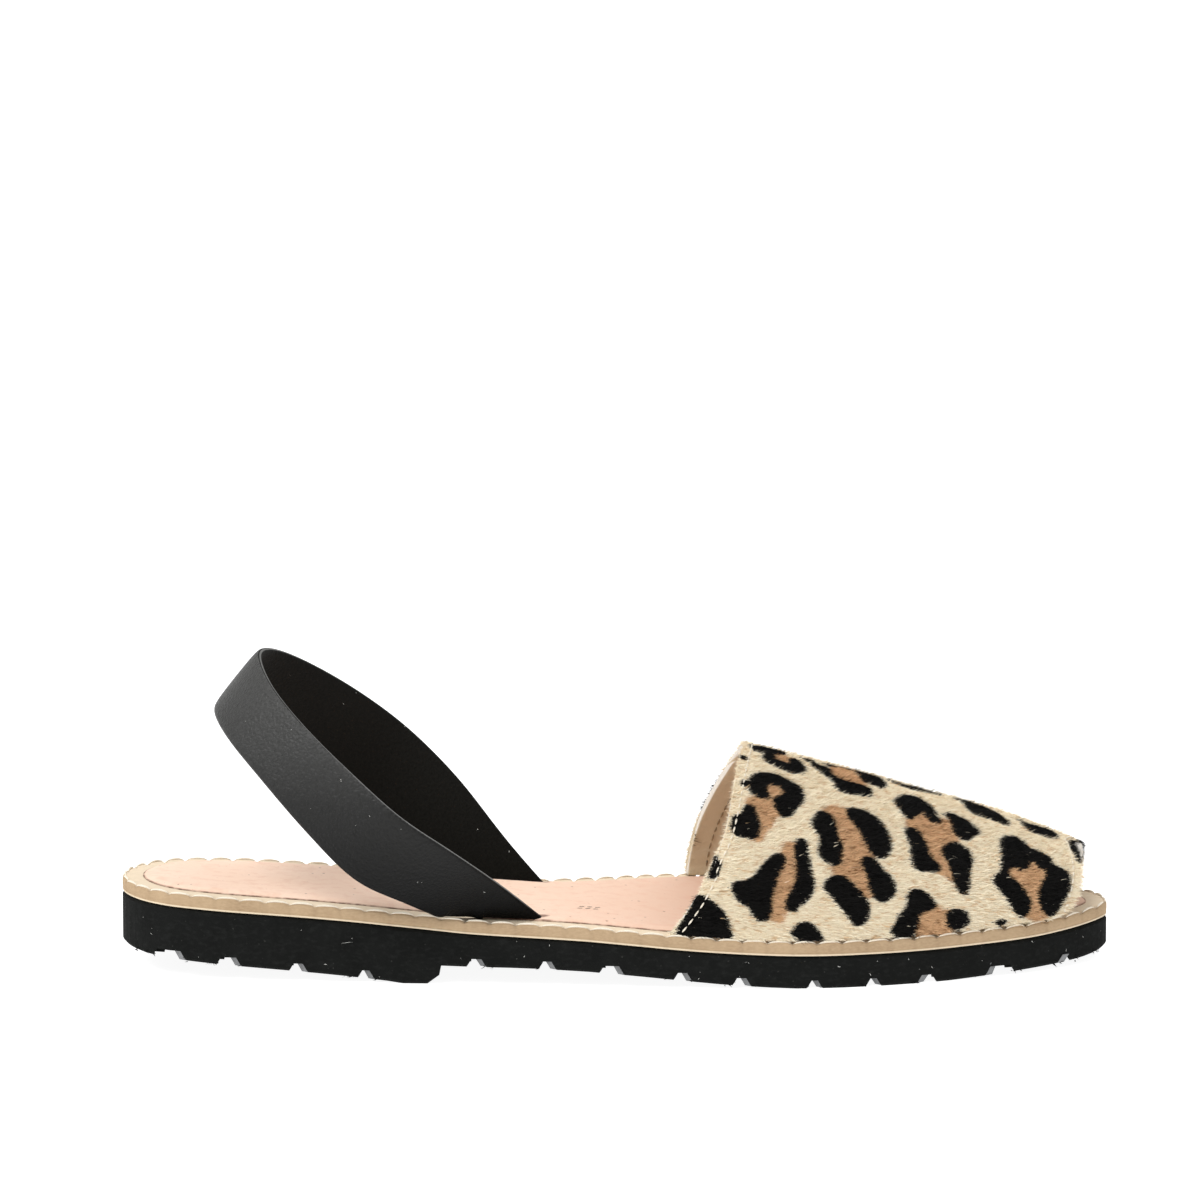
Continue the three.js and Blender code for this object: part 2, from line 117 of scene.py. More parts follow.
# Pressed mark of dashes: first place from the heel and the middle, and a dash, in millimetres
STAMP_X, STAMP_Y = 120.8, -15.5
STAMP_DASH = [(0, 0), (1.3, 0.1), (1.35, 0.5), (0.05, 0.4)]

# Vamp and its stitches
UPPER_WALL = 2.2 * MM
TOPSTITCH_INSET = 2.2 * MM
TOPSTITCH_PITCH = 2.6 * MM
TOPSTITCH_SHARE = 0.8
TOPSTITCH_RADIUS = 0.25 * MM
TOPSTITCH_RISE = 0.42 * MM
LINING_SEAM_INSET = 5.5 * MM

# Hair. Some hairs are raised, and some at the throat lie backwards as a fringe
HAIR_COUNT = 195000
HAIR_LENGTH = 2.1 * MM
HAIR_WIDTH = 0.17 * MM
HAIR_SPREAD = 0.16
HAIR_TWIST = 0.55
HAIR_LIFT = (0.05, 0.18)
RAISED_SHARE = 0.2
RAISED_LIFT = (0.3, 1.3)
RAISED_LENGTH = 0.6
RAISED_WIDTH = 1.4
FRINGE_REACH = 1.5 * MM
FRINGE_SHARE = 0.55
FRINGE_LENGTH = 0.7
STRAY_SHARE = 0.0012
STITCH_PARTING = 0.6 * MM
HAIR_TINT_SHARE = 0.6

# Locks of hair that share a tone, in millimetres, and the share of dark ones, which are painted
# shade in the gaps between locks
CLUMP_LENGTH = 1.25
CLUMP_WIDTH = 0.22
GAP_SHADE_LOCKS = 0.11

# Print, in millimetres of the vamp chart: its range, its cells and how far a shape is felt.
# The inner side has the outer one's shapes turned round, where they clear the ridge.
PRINT_LOW, PRINT_HIGH = (136, -4), (266, 175)
PRINT_CELL = 0.4
PRINT_REACH = 4
OFF_PRINT = 6.0
OUTLINE_CELL = 1.2
MISS_STEP, FARTHEST_MISS = 0.25, 40
RIDGE_STRETCH = 2.0
RIDGE_CLEARANCE = 3.0
TURNED_SUM = 404

# Smooth copies of the vamp and the strap
LONGEST_PROBE = 60 * MM
WELD = 0.01 * MM
QUAD_ANGLE = math.radians(40)
SMOOTH_LEVELS = 3

# Camera, as the photograph is taken
CAMERA_DISTANCE = 2.2
CAMERA_ELEVATION = math.radians(11)
FRAME_PIXELS = 1200
PIXELS_PER_MM = 3.75
SENSOR = 36
TARGET = Vector((0, 0.785 * MM, 12 * MM))
TARGET_PIXEL = (615.75, 912.44)

# Floor, just below the tread
FLOOR_HALF = 6.0
FLOOR_GAP = 0.02 * MM


def camera_axes():
    """Place of the camera, its forward, right and up directions and its focal length in pixels."""
    view = Vector((0, math.cos(CAMERA_ELEVATION), -math.sin(CAMERA_ELEVATION)))
    focal = CAMERA_DISTANCE / MM * PIXELS_PER_MM
    pan = math.atan((TARGET_PIXEL[0] - FRAME_PIXELS / 2) / focal)
    pitch = CAMERA_ELEVATION - math.atan((TARGET_PIXEL[1] - FRAME_PIXELS / 2) / focal)
    forward = Vector((-math.sin(pan) * math.cos(pitch), math.cos(pan) * math.cos(pitch),
                      -math.sin(pitch)))
    right = forward.cross(Vector((0, 0, 1))).normalized()
    return TARGET - view * CAMERA_DISTANCE, forward, right, right.cross(forward), focal


# The leopard print of the outer side, drawn on two sheets over the side view.
# A sheet has its first corner and its magnification in picture units.
REAR_SHEET = (680, 735, 7.127)
FRONT_SHEET = (880, 760, 7.84)
rear_black = [
    [(500, 75), (570, 85), (650, 92), (715, 120), (745, 150), (700, 150), (690, 178), (740, 195),
     (765, 205), (785, 170), (840, 180), (885, 215), (905, 250), (870, 282), (800, 280),
     (730, 255), (660, 220), (600, 185), (580, 165), (600, 140), (545, 125), (515, 100)],
    [(497, 330), (520, 290), (575, 270), (680, 282), (770, 320), (850, 365), (885, 410),
     (880, 490), (830, 545), (780, 590), (730, 590), (700, 560), (670, 500), (665, 450),
     (730, 425), (735, 400), (690, 370), (640, 365), (632, 410), (655, 450), (600, 465),
     (540, 440), (500, 410)],
    [(375, 580), (440, 560), (480, 497), (525, 500), (550, 545), (575, 620), (580, 680),
     (545, 742), (480, 742), (415, 725), (370, 690), (368, 640)],
    [(370, 1080), (385, 1050), (450, 1040), (520, 1010), (570, 950), (620, 890), (690, 845),
     (740, 850), (765, 900), (735, 960), (705, 1020), (680, 1110), (665, 1180), (665, 1260),
     (640, 1310), (570, 1330), (530, 1300), (500, 1240), (440, 1200), (385, 1140)],
    [(825, 770), (860, 735), (905, 750), (920, 820), (935, 900), (950, 980), (965, 1050),
     (960, 1120), (925, 1170), (870, 1220), (820, 1265), (765, 1250), (750, 1200), (780, 1140),
     (815, 1070), (830, 1000), (825, 900)],
    [(955, 590), (990, 545), (1050, 550), (1100, 590), (1120, 650), (1140, 730), (1170, 790),
     (1160, 870), (1150, 930), (1110, 940), (1050, 910), (1000, 870), (990, 800), (1000, 740),
     (960, 680), (940, 640)],
    [(1190, 525), (1260, 525), (1340, 550), (1420, 600), (1460, 650), (1500, 720), (1518, 770),
     (1500, 850), (1450, 890), (1390, 870), (1340, 810), (1300, 730), (1250, 650), (1195, 590)],
    [(1295, 885), (1370, 870), (1430, 930), (1490, 990), (1530, 1040), (1545, 1110), (1500, 1180),
     (1440, 1195), (1380, 1160), (1350, 1090), (1330, 1000), (1300, 930)],
    [(1025, 1090), (1050, 1030), (1110, 1000), (1180, 1005), (1240, 1060), (1290, 1110),
     (1340, 1170), (1355, 1220), (1350, 1300), (1310, 1355), (1240, 1360), (1200, 1290),
     (1140, 1230), (1080, 1150), (1035, 1110)],
    [(865, 170), (930, 180), (990, 215), (1060, 240), (1100, 290), (1180, 330), (1270, 350),
     (1340, 375), (1375, 415), (1360, 445), (1290, 440), (1190, 425), (1120, 395), (1090, 340),
     (1040, 300), (970, 250), (935, 215)],
    [(1030, 205), (1100, 225), (1180, 235), (1260, 250), (1330, 270), (1400, 290), (1450, 330),
     (1470, 380), (1440, 395), (1380, 365), (1330, 350), (1270, 300), (1220, 260), (1140, 240),
     (1060, 235)],
    [(-30, 1400), (10, 1325), (60, 1240), (120, 1150), (160, 1140), (230, 1180), (290, 1230),
     (340, 1290), (360, 1350), (385, 1440), (390, 1480), (200, 1480), (0, 1480)],
    [(215, 960), (230, 900), (270, 870), (300, 900), (290, 960), (250, 1030), (200, 1020)],
    [(730, 1480), (790, 1410), (850, 1340), (940, 1335), (990, 1390), (1030, 1450), (1040, 1490),
     (850, 1490)],
    [(440, 140), (465, 150), (490, 185), (440, 180)],
    [(430, 345), (490, 320), (490, 365), (440, 365)],
]
rear_brown = [
    [(690, 150), (735, 155), (775, 165), (775, 195), (740, 200), (690, 180)],
    [(640, 360), (690, 365), (735, 405), (715, 435), (665, 445), (640, 415)],
    [(480, 450), (540, 455), (600, 460), (655, 455), (675, 520), (690, 590), (670, 650),
     (620, 700), (590, 760), (545, 765), (560, 700), (580, 640), (560, 560), (530, 500),
     (490, 490)],
    [(735, 790), (770, 760), (805, 780), (830, 850), (830, 930), (835, 1000), (790, 1080),
     (750, 1170), (745, 1240), (755, 1290), (730, 1345), (690, 1340), (655, 1290), (660, 1190),
     (680, 1100), (710, 1010), (755, 920), (755, 860)],
    [(1040, 520), (1080, 505), (1150, 520), (1190, 560), (1220, 620), (1270, 690), (1300, 760),
     (1340, 830), (1370, 890), (1300, 885), (1320, 960), (1340, 1050), (1360, 1140), (1340, 1150),
     (1290, 1090), (1230, 1030), (1160, 1000), (1090, 965), (1150, 930), (1160, 800), (1120, 700),
     (1105, 610)],
    [(1085, 245), (1140, 240), (1200, 255), (1250, 300), (1320, 350), (1310, 365), (1230, 345),
     (1150, 315), (1100, 280)],
]
front_black = [
    [(40, 148), (120, 165), (220, 195), (310, 215), (400, 235), (490, 275), (470, 288), (400, 275),
     (300, 255), (200, 225), (130, 200), (70, 170)],
    [(105, 340), (140, 300), (200, 278), (290, 295), (370, 340), (430, 390), (460, 450),
     (490, 490), (450, 510), (400, 490), (320, 430), (290, 455), (240, 475), (190, 440),
     (150, 380)],
    [(495, 425), (550, 420), (640, 455), (710, 490), (760, 540), (790, 575), (740, 610),
     (700, 645), (640, 630), (580, 590), (560, 520), (530, 460)],
    [(195, 550), (230, 530), (290, 545), (340, 600), (375, 670), (400, 740), (430, 790),
     (480, 830), (490, 865), (440, 885), (380, 880), (310, 880), (265, 830), (245, 760),
     (235, 680), (210, 610)],
    [(480, 720), (530, 660), (590, 645), (650, 675), (700, 710), (735, 780), (720, 850),
     (710, 920), (710, 1000), (690, 1060), (640, 1055), (600, 1010), (570, 940), (550, 870),
     (520, 790)],
    [(210, 1080), (240, 1020), (290, 1010), (370, 1040), (420, 1090), (450, 1150), (420, 1180),
     (360, 1185), (320, 1220), (310, 1290), (290, 1350), (240, 1400), (130, 1420), (40, 1420),
     (80, 1340), (120, 1270), (160, 1200), (210, 1140)],
    [(520, 1200), (560, 1170), (640, 1170), (690, 1200), (710, 1260), (690, 1340), (640, 1360),
     (570, 1350), (530, 1290)],
    [(945, 640), (980, 600), (1050, 600), (1120, 640), (1200, 700), (1290, 740), (1350, 780),
     (1370, 830), (1430, 850), (1480, 890), (1500, 950), (1490, 1030), (1440, 1120), (1400, 1180),
     (1350, 1225), (1290, 1200), (1250, 1140), (1240, 1060), (1270, 960), (1300, 890), (1240, 850),
     (1190, 800), (1170, 850), (1110, 880), (1050, 850), (1010, 870), (1050, 930), (1110, 980),
     (1160, 1050), (1190, 1120), (1180, 1190), (1120, 1240), (1060, 1200), (1020, 1130),
     (960, 1050), (920, 1000), (890, 930), (940, 880), (950, 800), (950, 720)],
    [(590, 300), (650, 300), (720, 330), (800, 360), (880, 400), (950, 440), (1020, 500),
     (1000, 525), (950, 510), (880, 480), (800, 455), (730, 430), (690, 400), (650, 350)],
    [(1090, 475), (1150, 500), (1240, 525), (1330, 555), (1400, 600), (1350, 625), (1260, 600),
     (1180, 570), (1120, 525)],
    [(900, 1270), (950, 1245), (1010, 1260), (985, 1285), (920, 1292)],
    [(1480, 650), (1510, 640), (1560, 690), (1585, 760), (1575, 830), (1550, 800), (1520, 740),
     (1490, 700)],
]
front_brown = [
    [(210, 490), (290, 460), (320, 440), (400, 500), (440, 520), (480, 480), (530, 480),
     (555, 540), (575, 600), (600, 640), (540, 660), (490, 700), (480, 760), (510, 790),
     (545, 850), (560, 900), (555, 940), (490, 910), (470, 880), (480, 840), (430, 780),
     (395, 700), (365, 620), (320, 560), (280, 530), (215, 520)],
    [(330, 1210), (380, 1180), (450, 1165), (500, 1180), (530, 1230), (540, 1290), (560, 1350),
     (480, 1370), (380, 1390), (290, 1400), (240, 1400), (300, 1340)],
    [(1010, 850), (1060, 850), (1110, 875), (1170, 850), (1190, 795), (1240, 845), (1310, 885),
     (1275, 960), (1250, 1050), (1240, 1100), (1255, 1160), (1290, 1240), (1210, 1260),
     (1170, 1240), (1180, 1120), (1140, 1040), (1090, 970), (1040, 920)],
]

# Shapes over the crown's inner half, in millimetres along the sole and round the vamp
crown_black = [
    [(166, 93), (171, 91), (177, 93), (181, 97), (179, 101), (174, 103), (172, 101), (175, 99),
     (173, 96), (168, 97)],
    [(204, 79), (210, 76.5), (216, 76), (220, 79), (218, 84), (212, 86), (209, 84), (214, 82),
     (212, 80), (208, 82)],
]
crown_brown = [
    [(169, 97), (173, 96), (175, 99), (172, 101), (169, 100)],
    [(208, 82), (212, 80), (214, 82), (209, 84)],
]


# Reading the solids

def mesh_points(data):
    flat = np.empty(len(data.vertices) * 3, np.float32)
    data.vertices.foreach_get("co", flat)
    return flat.reshape(-1, 3).astype(float)


def node_points(name):
    return mesh_points(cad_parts[name].data)


def node_tree(name):
    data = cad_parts[name].data
    points = [v.co.copy() for v in data.vertices]
    return BVHTree.FromPolygons(points, [tuple(p.vertices) for p in data.polygons])


def midsole_columns():
    """Plan position, lowest and highest point of each vertical edge of the midsole."""
    points = node_points("midsole")
    keys = np.round(points[:, :2] / (0.005 * MM)).astype(np.int64)
    _, owner = np.unique(keys, axis=0, return_inverse=True)
    owner = owner.ravel()
    columns = []
    for index in range(owner.max() + 1):
        group = points[owner == index]
        columns.append((group[0, 0], group[0, 1], group[:, 2].min(), group[:, 2].max()))
    return np.array(columns)


def read_rim(columns):
    """Rows of x, outer y and inner y along the sole's edge."""
    tall = columns[:, 3] - columns[:, 2]
    rim = columns[tall < MIDSOLE_THICKNESS - MIDSOLE_EDGE]
    rim = rim[np.argsort(rim[:, 0])]
    rows = []
    for first, second in zip(rim[0::2], rim[1::2]):
        rows.append((first[0], min(first[1], second[1]), max(first[1], second[1])))
    return np.array(rows)


def read_top(columns):
    """Evenly spaced x and the height of the midsole's top there, smoothed."""
    tall = columns[:, 3] - columns[:, 2]
    full = columns[tall > MIDSOLE_THICKNESS - MIDSOLE_EDGE]
    full = full[np.argsort(full[:, 0])]
    xs = np.arange(full[0, 0] - TOP_MARGIN, full[-1, 0] + TOP_MARGIN, TOP_STEP)
    zs = np.interp(xs, full[:, 0], full[:, 3])
    window = np.hanning(2 * TOP_SMOOTHING + 1)
    padded = np.pad(zs, TOP_SMOOTHING, mode="edge")
    return xs, np.convolve(padded, window / window.sum(), mode="valid")


columns = midsole_columns()
rim_rows = read_rim(columns)
top_xs, top_zs = read_top(columns)
HEEL_X = rim_rows[0, 0]
HEEL_Y = rim_rows[0, 1:].mean()


def sole_top(x):
    return np.interp(x, top_xs, top_zs)


def sole_middle(x):
    return np.interp(x, rim_rows[:, 0], rim_rows[:, 1:].mean(axis=1))


# Plan curves

def closed_curve(points, step):
    """Smooth closed curve through points, at even steps."""
    ahead = np.roll(points, -1, 0) - points
    span = np.linalg.norm(ahead, axis=1)
    slope = ahead / span[:, None]
    before = np.roll(span, 1)
    blend = slope * before[:, None] + np.roll(slope, 1, 0) * span[:, None]
    tangent = blend / (span + before)[:, None]
    start = np.concatenate([[0], np.cumsum(span)])
    count = max(int(round(start[-1] / step)), 3)
    s = np.linspace(0, start[-1], count, endpoint=False)
    i = np.searchsorted(start, s, side="right") - 1
    h = span[i][:, None]
    t = ((s - start[i]) / span[i])[:, None]
    p0, p1 = points[i], np.roll(points, -1, 0)[i]
    m0, m1 = tangent[i] * h, np.roll(tangent, -1, 0)[i] * h
    return ((2 * t**3 - 3 * t**2 + 1) * p0 + (t**3 - 2 * t**2 + t) * m0
            + (3 * t**2 - 2 * t**3) * p1 + (t**3 - t**2) * m1)


def smooth_closed(values, reach):
    window = np.hanning(2 * reach + 1)
    padded = np.concatenate([values[-reach:], values, values[:reach]])
    columns_out = [np.convolve(padded[:, k], window / window.sum(), mode="valid")
                   for k in range(values.shape[1])]
    return np.stack(columns_out, axis=1)


def unit(rows):
    return rows / np.linalg.norm(rows, axis=1)[:, None]


def inward_normals(ring):
    along = np.roll(ring, -1, 0) - np.roll(ring, 1, 0)
    normal = np.stack([-along[:, 1], along[:, 0]], axis=1)
    return unit(smooth_closed(normal, 4))


def sole_outline():
    outer = rim_rows[:, [0, 1]]
    inner = rim_rows[::-1, [0, 2]]
    return closed_curve(np.concatenate([outer, inner]), OUTLINE_STEP)


outline = sole_outline()
outline_normals = inward_normals(outline)
outline_steps = np.linalg.norm(np.roll(outline, -1, 0) - outline, axis=1)
outline_run = np.concatenate([[0], np.cumsum(outline_steps)[:-1]])
OUTLINE_LENGTH = outline_steps.sum()


def inset_ring(distance):
    return outline + outline_normals * distance


# Meshes

def add_object(name, data, materials, smooth=True):
    for material in materials:
        data.materials.append(material)
    if smooth:
        data.shade_smooth()
    piece = bpy.data.objects.new(name, data)
    bpy.context.scene.collection.objects.link(piece)
    return piece


def mesh_from(name, points, faces):
    data = bpy.data.meshes.new(name)
    data.from_pydata([tuple(p) for p in points], [], [tuple(f) for f in faces])
    data.update()
    return data


def set_attribute(data, name, values):
    attribute = data.attributes.new(name, "FLOAT", "POINT")
    attribute.data.foreach_set("value", np.asarray(values, np.float32))


def ring_faces(rings, count):
    faces = []
    for i in range(rings - 1):
        for j in range(count):
            k = (j + 1) % count
            a, b = i * count + j, i * count + k
            faces.append((a, b, b + count, a + count))
    return faces


def faces_from(base, faces):
    """Faces whose corners are counted from a later point."""
    return [tuple(base + corner for corner in face) for face in faces]


def cap_faces(ring):
    """Triangles that close a ring from side to side, over a surface that bends only along x."""
    count = len(ring)
    last = ring[:, 0].argmax()
    left = ring[:, 0].argmin()
    right = (left + 1) % count
    faces = []
    while right != last or left != last:
        next_right, next_left = (right + 1) % count, (left - 1) % count
        if left == last or (right != last and ring[next_right, 0] <= ring[next_left, 0]):
            faces.append((left, right, next_right))
            right = next_right
        else:
            faces.append((left, right, next_left))
            left = next_left
    return [face for face in faces if len(set(face)) == 3]


def nearest_distance(points, marks):
    tree = KDTree(len(marks))
    for i, mark in enumerate(marks):
        tree.insert(mark, i)
    tree.balance()
    return np.array([tree.find(point)[2] for point in points])


def bare_copy(name):
    """A copy of a solid's mesh without its materials."""
    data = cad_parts[name].data.copy()
    data.materials.clear()
    return data


def finish_piece(piece, slot, *nodes):
    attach(piece, "root")
    if nodes:
        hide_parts(*nodes)
    return piece


def add_piece(name, data, looks, slot, *nodes, smooth=True):
    return finish_piece(add_object(name, data, looks, smooth), slot, *nodes)


def thread_mesh(name, paths, radius, sides=6):
    """Short lengths of thread, each a tube along its own row of points with closed, thin ends."""
    points, faces = [], []
    for path in paths:
        path = np.asarray(path)
        along = unit(np.gradient(path, axis=0))
        across = unit(np.cross(along, np.array([0.03, 0.02, 1.0])))
        over = np.cross(across, along)
        share = np.linspace(0, 1, len(path))
        fat = radius * np.clip(np.sin(np.pi * share), 0, 1) ** 0.35
        fat = np.maximum(fat, 0.15 * radius)
        tube = ring_faces(len(path), sides)
        tube.append(tuple(reversed(range(sides))))
        tube.append(tuple(range((len(path) - 1) * sides, len(path) * sides)))
        faces += faces_from(len(points), tube)
        for p, u, v, r in zip(path, across, over, fat):
            for k in range(sides):
                angle = 2 * math.pi * k / sides
                points.append(p + (u * math.cos(angle) + v * math.sin(angle)) * r)
    return mesh_from(name, points, faces)


# Materials

def paint(red, green, blue):
    """Colour given in ordinary screen values."""
    values = [c / 255 for c in (red, green, blue)]
    linear = [c / 12.92 if c <= 0.04045 else ((c + 0.055) / 1.055) ** 2.4 for c in values]
    return (*linear, 1)


class Look:
    """A principled material that is built up with small helpers, whose sizes are millimetres."""

    def __init__(self, name, roughness, specular):
        self.material = bpy.data.materials.new(name)
        self.material.use_nodes = True
        self.tree = self.material.node_tree
        self.shader = self.tree.nodes["Principled BSDF"]
        self.shader.inputs["Roughness"].default_value = roughness
        self.shader.inputs["Specular IOR Level"].default_value = specular

    def add(self, kind, **inputs):
        node = self.tree.nodes.new(kind)
        for key, value in inputs.items():
            self.feed(node.inputs[key.replace("_", " ")], value)
        return node

    def feed(self, socket, value):
        """Set a socket to another one, a mesh attribute's name, a screen colour or a value."""
        if isinstance(value, str):
            value = self.attribute(value)
        if isinstance(value, bpy.types.NodeSocket):
            self.tree.links.new(value, socket)
        elif socket.type == "RGBA" and len(value) == 3:
            socket.default_value = paint(*value)
        else:
            socket.default_value = value

    def coordinates(self, stretch=(1, 1, 1)):
        where = self.add("ShaderNodeTexCoord").outputs["Object"]
        return self.add("ShaderNodeMapping", Vector=where, Scale=stretch).outputs["Vector"]

    def noise(self, size, detail=3, stretch=(1, 1, 1)):
        where = self.coordinates(stretch)
        node = self.add("ShaderNodeTexNoise", Vector=where, Scale=1 / (size * MM), Detail=detail)
        return node.outputs["Fac"]

    def spots(self, size):
        where = self.coordinates()
        node = self.add("ShaderNodeTexVoronoi", Vector=where, Scale=1 / (size * MM))
        return node.outputs["Distance"]

    def ramp(self, value, low, high, start=0.0, end=1.0):
        node = self.add("ShaderNodeMapRange", Value=value, From_Min=low, From_Max=high,
                        To_Min=start, To_Max=end)
        node.clamp = True
        return node.outputs["Result"]

    def math(self, operation, first, second=0.0):
        node = self.tree.nodes.new("ShaderNodeMath")
        node.operation = operation
        self.feed(node.inputs[0], first)
        self.feed(node.inputs[1], second)
        return node.outputs["Value"]

    def mix(self, share, first, second):
        node = self.tree.nodes.new("ShaderNodeMix")
        node.data_type = "RGBA"
        self.feed(node.inputs["Factor"], share)
        self.feed(node.inputs[6], first)
        self.feed(node.inputs[7], second)
        return node.outputs[2]

    def tint(self, share, strength, base, colour):
        """The base with a share of a colour on it, times a strength."""
        return self.mix(self.math("MULTIPLY", share, strength), base, colour)

    def attribute(self, name):
        node = self.tree.nodes.new("ShaderNodeAttribute")
        node.attribute_name = name
        return node.outputs["Fac"]

    def colour(self, value):
        self.feed(self.shader.inputs["Base Color"], value)

    def bump(self, height, depth):
        """One more layer of relief over those before it."""
        node = self.add("ShaderNodeBump", Height=height, Distance=depth * MM, Strength=1.0)
        previous = self.shader.inputs["Normal"].links
        if previous:
            self.feed(node.inputs["Normal"], previous[0].from_socket)
        self.feed(self.shader.inputs["Normal"], node.outputs["Normal"])


def rubber_look():
    look = Look("sole rubber", 0.85, 0.08)
    base = look.mix(look.noise(6, 4), (15, 16, 15), (27, 28, 27))
    mottle = look.ramp(look.noise(0.9, 3, (0.5, 0.5, 1)), 0.5, 0.75)
    base = look.tint(mottle, 0.35, base, (42, 43, 42))
    dust = look.ramp(look.noise(0.7, 2), 0.72, 0.8)
    look.colour(look.tint(dust, 0.35, base, (110, 110, 105)))
    look.bump(look.noise(0.5, 3), 0.12)
    look.bump(look.noise(4, 2), 0.25)
    return look.material


def groove_side_painted_light_look():
    look = Look("groove side painted light", 0.6, 0.3)
    # painted light: the grey stands for black rubber lit from the bright floor and reflecting it
    look.colour(look.mix(look.noise(1.2, 2), (96, 97, 98), (150, 151, 152)))
    return look.material


def welt_look():
    look = Look("midsole leather", 0.8, 0.1)
    grain = look.noise(0.6, 4, (0.6, 0.6, 1.3))
    edge = look.mix(grain, (156, 130, 100), (196, 170, 138))
    cloud = look.ramp(look.noise(9, 3), 0.35, 0.7)
    edge = look.tint(cloud, 0.35, edge, (206, 180, 146))
    bead = look.ramp("rise", 0.6, 0.42)
    edge = look.mix(bead, edge, (228, 210, 182))
    inset = look.ramp("inset", 0.3, 0.9)
    edge = look.mix(inset, edge, (230, 212, 186))
    # painted shade: darker in the pulled-down stitch holes between the thread arcs
    look.colour(look.tint("hole", 0.35, edge, (96, 68, 45)))
    look.bump(grain, 0.08)
    return look.material


def thread_look():
    look = Look("thread", 0.8, 0.1)
    look.colour(look.mix(look.noise(0.3, 2), (230, 217, 195), (252, 245, 230)))
    look.bump(look.noise(0.12, 1, (0.4, 1, 1)), 0.05)
    return look.material


def insole_look():
    look = Look("insole leather", 0.7, 0.15)
    cloud = look.noise(22, 4)
    base = look.mix(cloud, (248, 214, 190), (255, 228, 208))
    # painted shade and bounced light from the hide, deepening along the insole towards the vamp
    painted_vamp_shade = look.ramp("along", 100, 165)
    base = look.tint(painted_vamp_shade, 0.75, base, (212, 172, 149))
    fine = look.noise(0.8, 3)
    base = look.tint(fine, 0.35, base, (230, 190, 164))
    blotch = look.ramp(look.noise(3.5, 4), 0.5, 0.72)
    base = look.tint(blotch, 0.35, base, (226, 178, 152))
    speck = look.ramp(look.spots(5), 0.085, 0.06)
    base = look.tint(speck, 0.7, base, (130, 92, 76))
    dust = look.ramp(look.spots(2.9), 0.09, 0.05)
    base = look.tint(dust, 0.4, base, (170, 124, 102))
    # painted shade: a broken dark line round the insole's edge, next to the welt
    painted_insole_edge_shade = look.ramp("edge", 0.6, 0.15)
    broken = look.ramp(look.noise(2.2, 2), 0.35, 0.6, 0.35, 0.95)
    base = look.tint(painted_insole_edge_shade, broken, base, (98, 66, 48))
    # painted shade: dark where the strap's feet go down into the insole
    slit = look.ramp("slit", 1.6, 0.7)
    look.colour(look.tint(slit, 0.75, base, (96, 62, 50)))
    look.bump(fine, 0.05)
    look.bump(look.noise(9, 2), 0.35)
    return look.material


def plain_look(name, colour, roughness, specular):
    look = Look(name, roughness, specular)
    look.colour(colour)
    return look.material


def hide_colour(look, streak):
    """Cream hair with brown and black print, by distance from the drawn shapes in millimetres."""
    cream = look.mix(streak, (219, 187, 145), (255, 248, 226))
    brown = look.mix(streak, (131, 91, 58), (234, 193, 149))
    black = look.mix(streak, (2, 2, 2), (27, 26, 25))
    ragged = look.noise(0.35, 2, (0.3, 1, 1))
    jitter = look.ramp(ragged, 0.25, 0.75, -0.3, 0.3)
    beside = look.ramp("black", 1.6, 0.4, 0.0, -0.9)
    brown_edge = look.math("ADD", look.math("ADD", "brown", beside), jitter)
    in_brown = look.ramp(brown_edge, 0.35, -0.35)
    in_black = look.ramp(look.math("ADD", "black", jitter), 0.12, -0.12)
    return look.mix(in_black, look.mix(in_brown, cream, brown), black)


def hide_look():
    look = Look("vamp hide", 0.85, 0.05)
    streak = look.ramp(look.noise(0.28, 3, (0.12, 1, 1)), 0.2, 0.7)
    look.colour(hide_colour(look, streak))
    look.bump(streak, 0.12)
    return look.material


def hair_look():
    look = Look("vamp hair", 0.7, 0.06)
    look.colour(hide_colour(look, look.attribute("tone")))
    return look.material


def rim_look():
    look = Look("vamp rim", 0.8, 0.2)
    look.colour(look.mix(look.noise(0.8, 3), (214, 206, 194), (242, 237, 228)))
    look.bump(look.noise(0.4, 3), 0.1)
    return look.material


def lining_look():
    look = Look("vamp lining", 0.7, 0.15)
    cloud = look.noise(8, 3)
    look.colour(look.mix(cloud, (200, 185, 157), (220, 206, 179)))
    look.bump(look.noise(0.9, 4), 0.15)
    look.bump(look.noise(5, 3, (0.4, 1, 1)), 0.9)
    return look.material


def strap_look():
    look = Look("strap leather", 0.4, 0.34)
    grain = look.noise(0.8, 3)
    height = look.attribute("height")
    inner = look.ramp("inner", 0.4, 0.6)
    outside = look.mix(grain, (22, 22, 21), (31, 31, 30))
    # painted shade: the outside turns near black low down towards the foot, where the strap faces
    # down
    outside = look.mix(look.ramp(height, 15, 46), (8, 8, 8), outside)
    # painted highlight: the outside is lighter high up at the back of the strap
    painted_back_highlight = look.mix(grain, (38, 38, 37), (70, 70, 68))
    outside = look.mix(look.ramp(height, 48, 76), outside, painted_back_highlight)
    inside = look.mix(grain, (13, 13, 11), (27, 26, 23))
    base = look.mix(inner, outside, inside)
    # painted highlight: a light grey line along the strap's rounded edges
    edge = look.ramp("through", 4.5, 9.0)
    look.colour(look.tint(edge, 0.85, base, (128, 128, 126)))
    look.feed(look.shader.inputs["Roughness"], look.ramp(inner, 0, 1, 0.4, 0.85))
    sheen = look.ramp(height, 16, 62, 0.03, 0.4)
    sheen = look.math("MULTIPLY", sheen, look.ramp(inner, 0, 1, 1, 0.4))
    look.feed(look.shader.inputs["Specular IOR Level"], sheen)
    look.bump(grain, 0.5)
    look.bump(look.noise(6, 2), 0.25)
    return look.material


# Sole

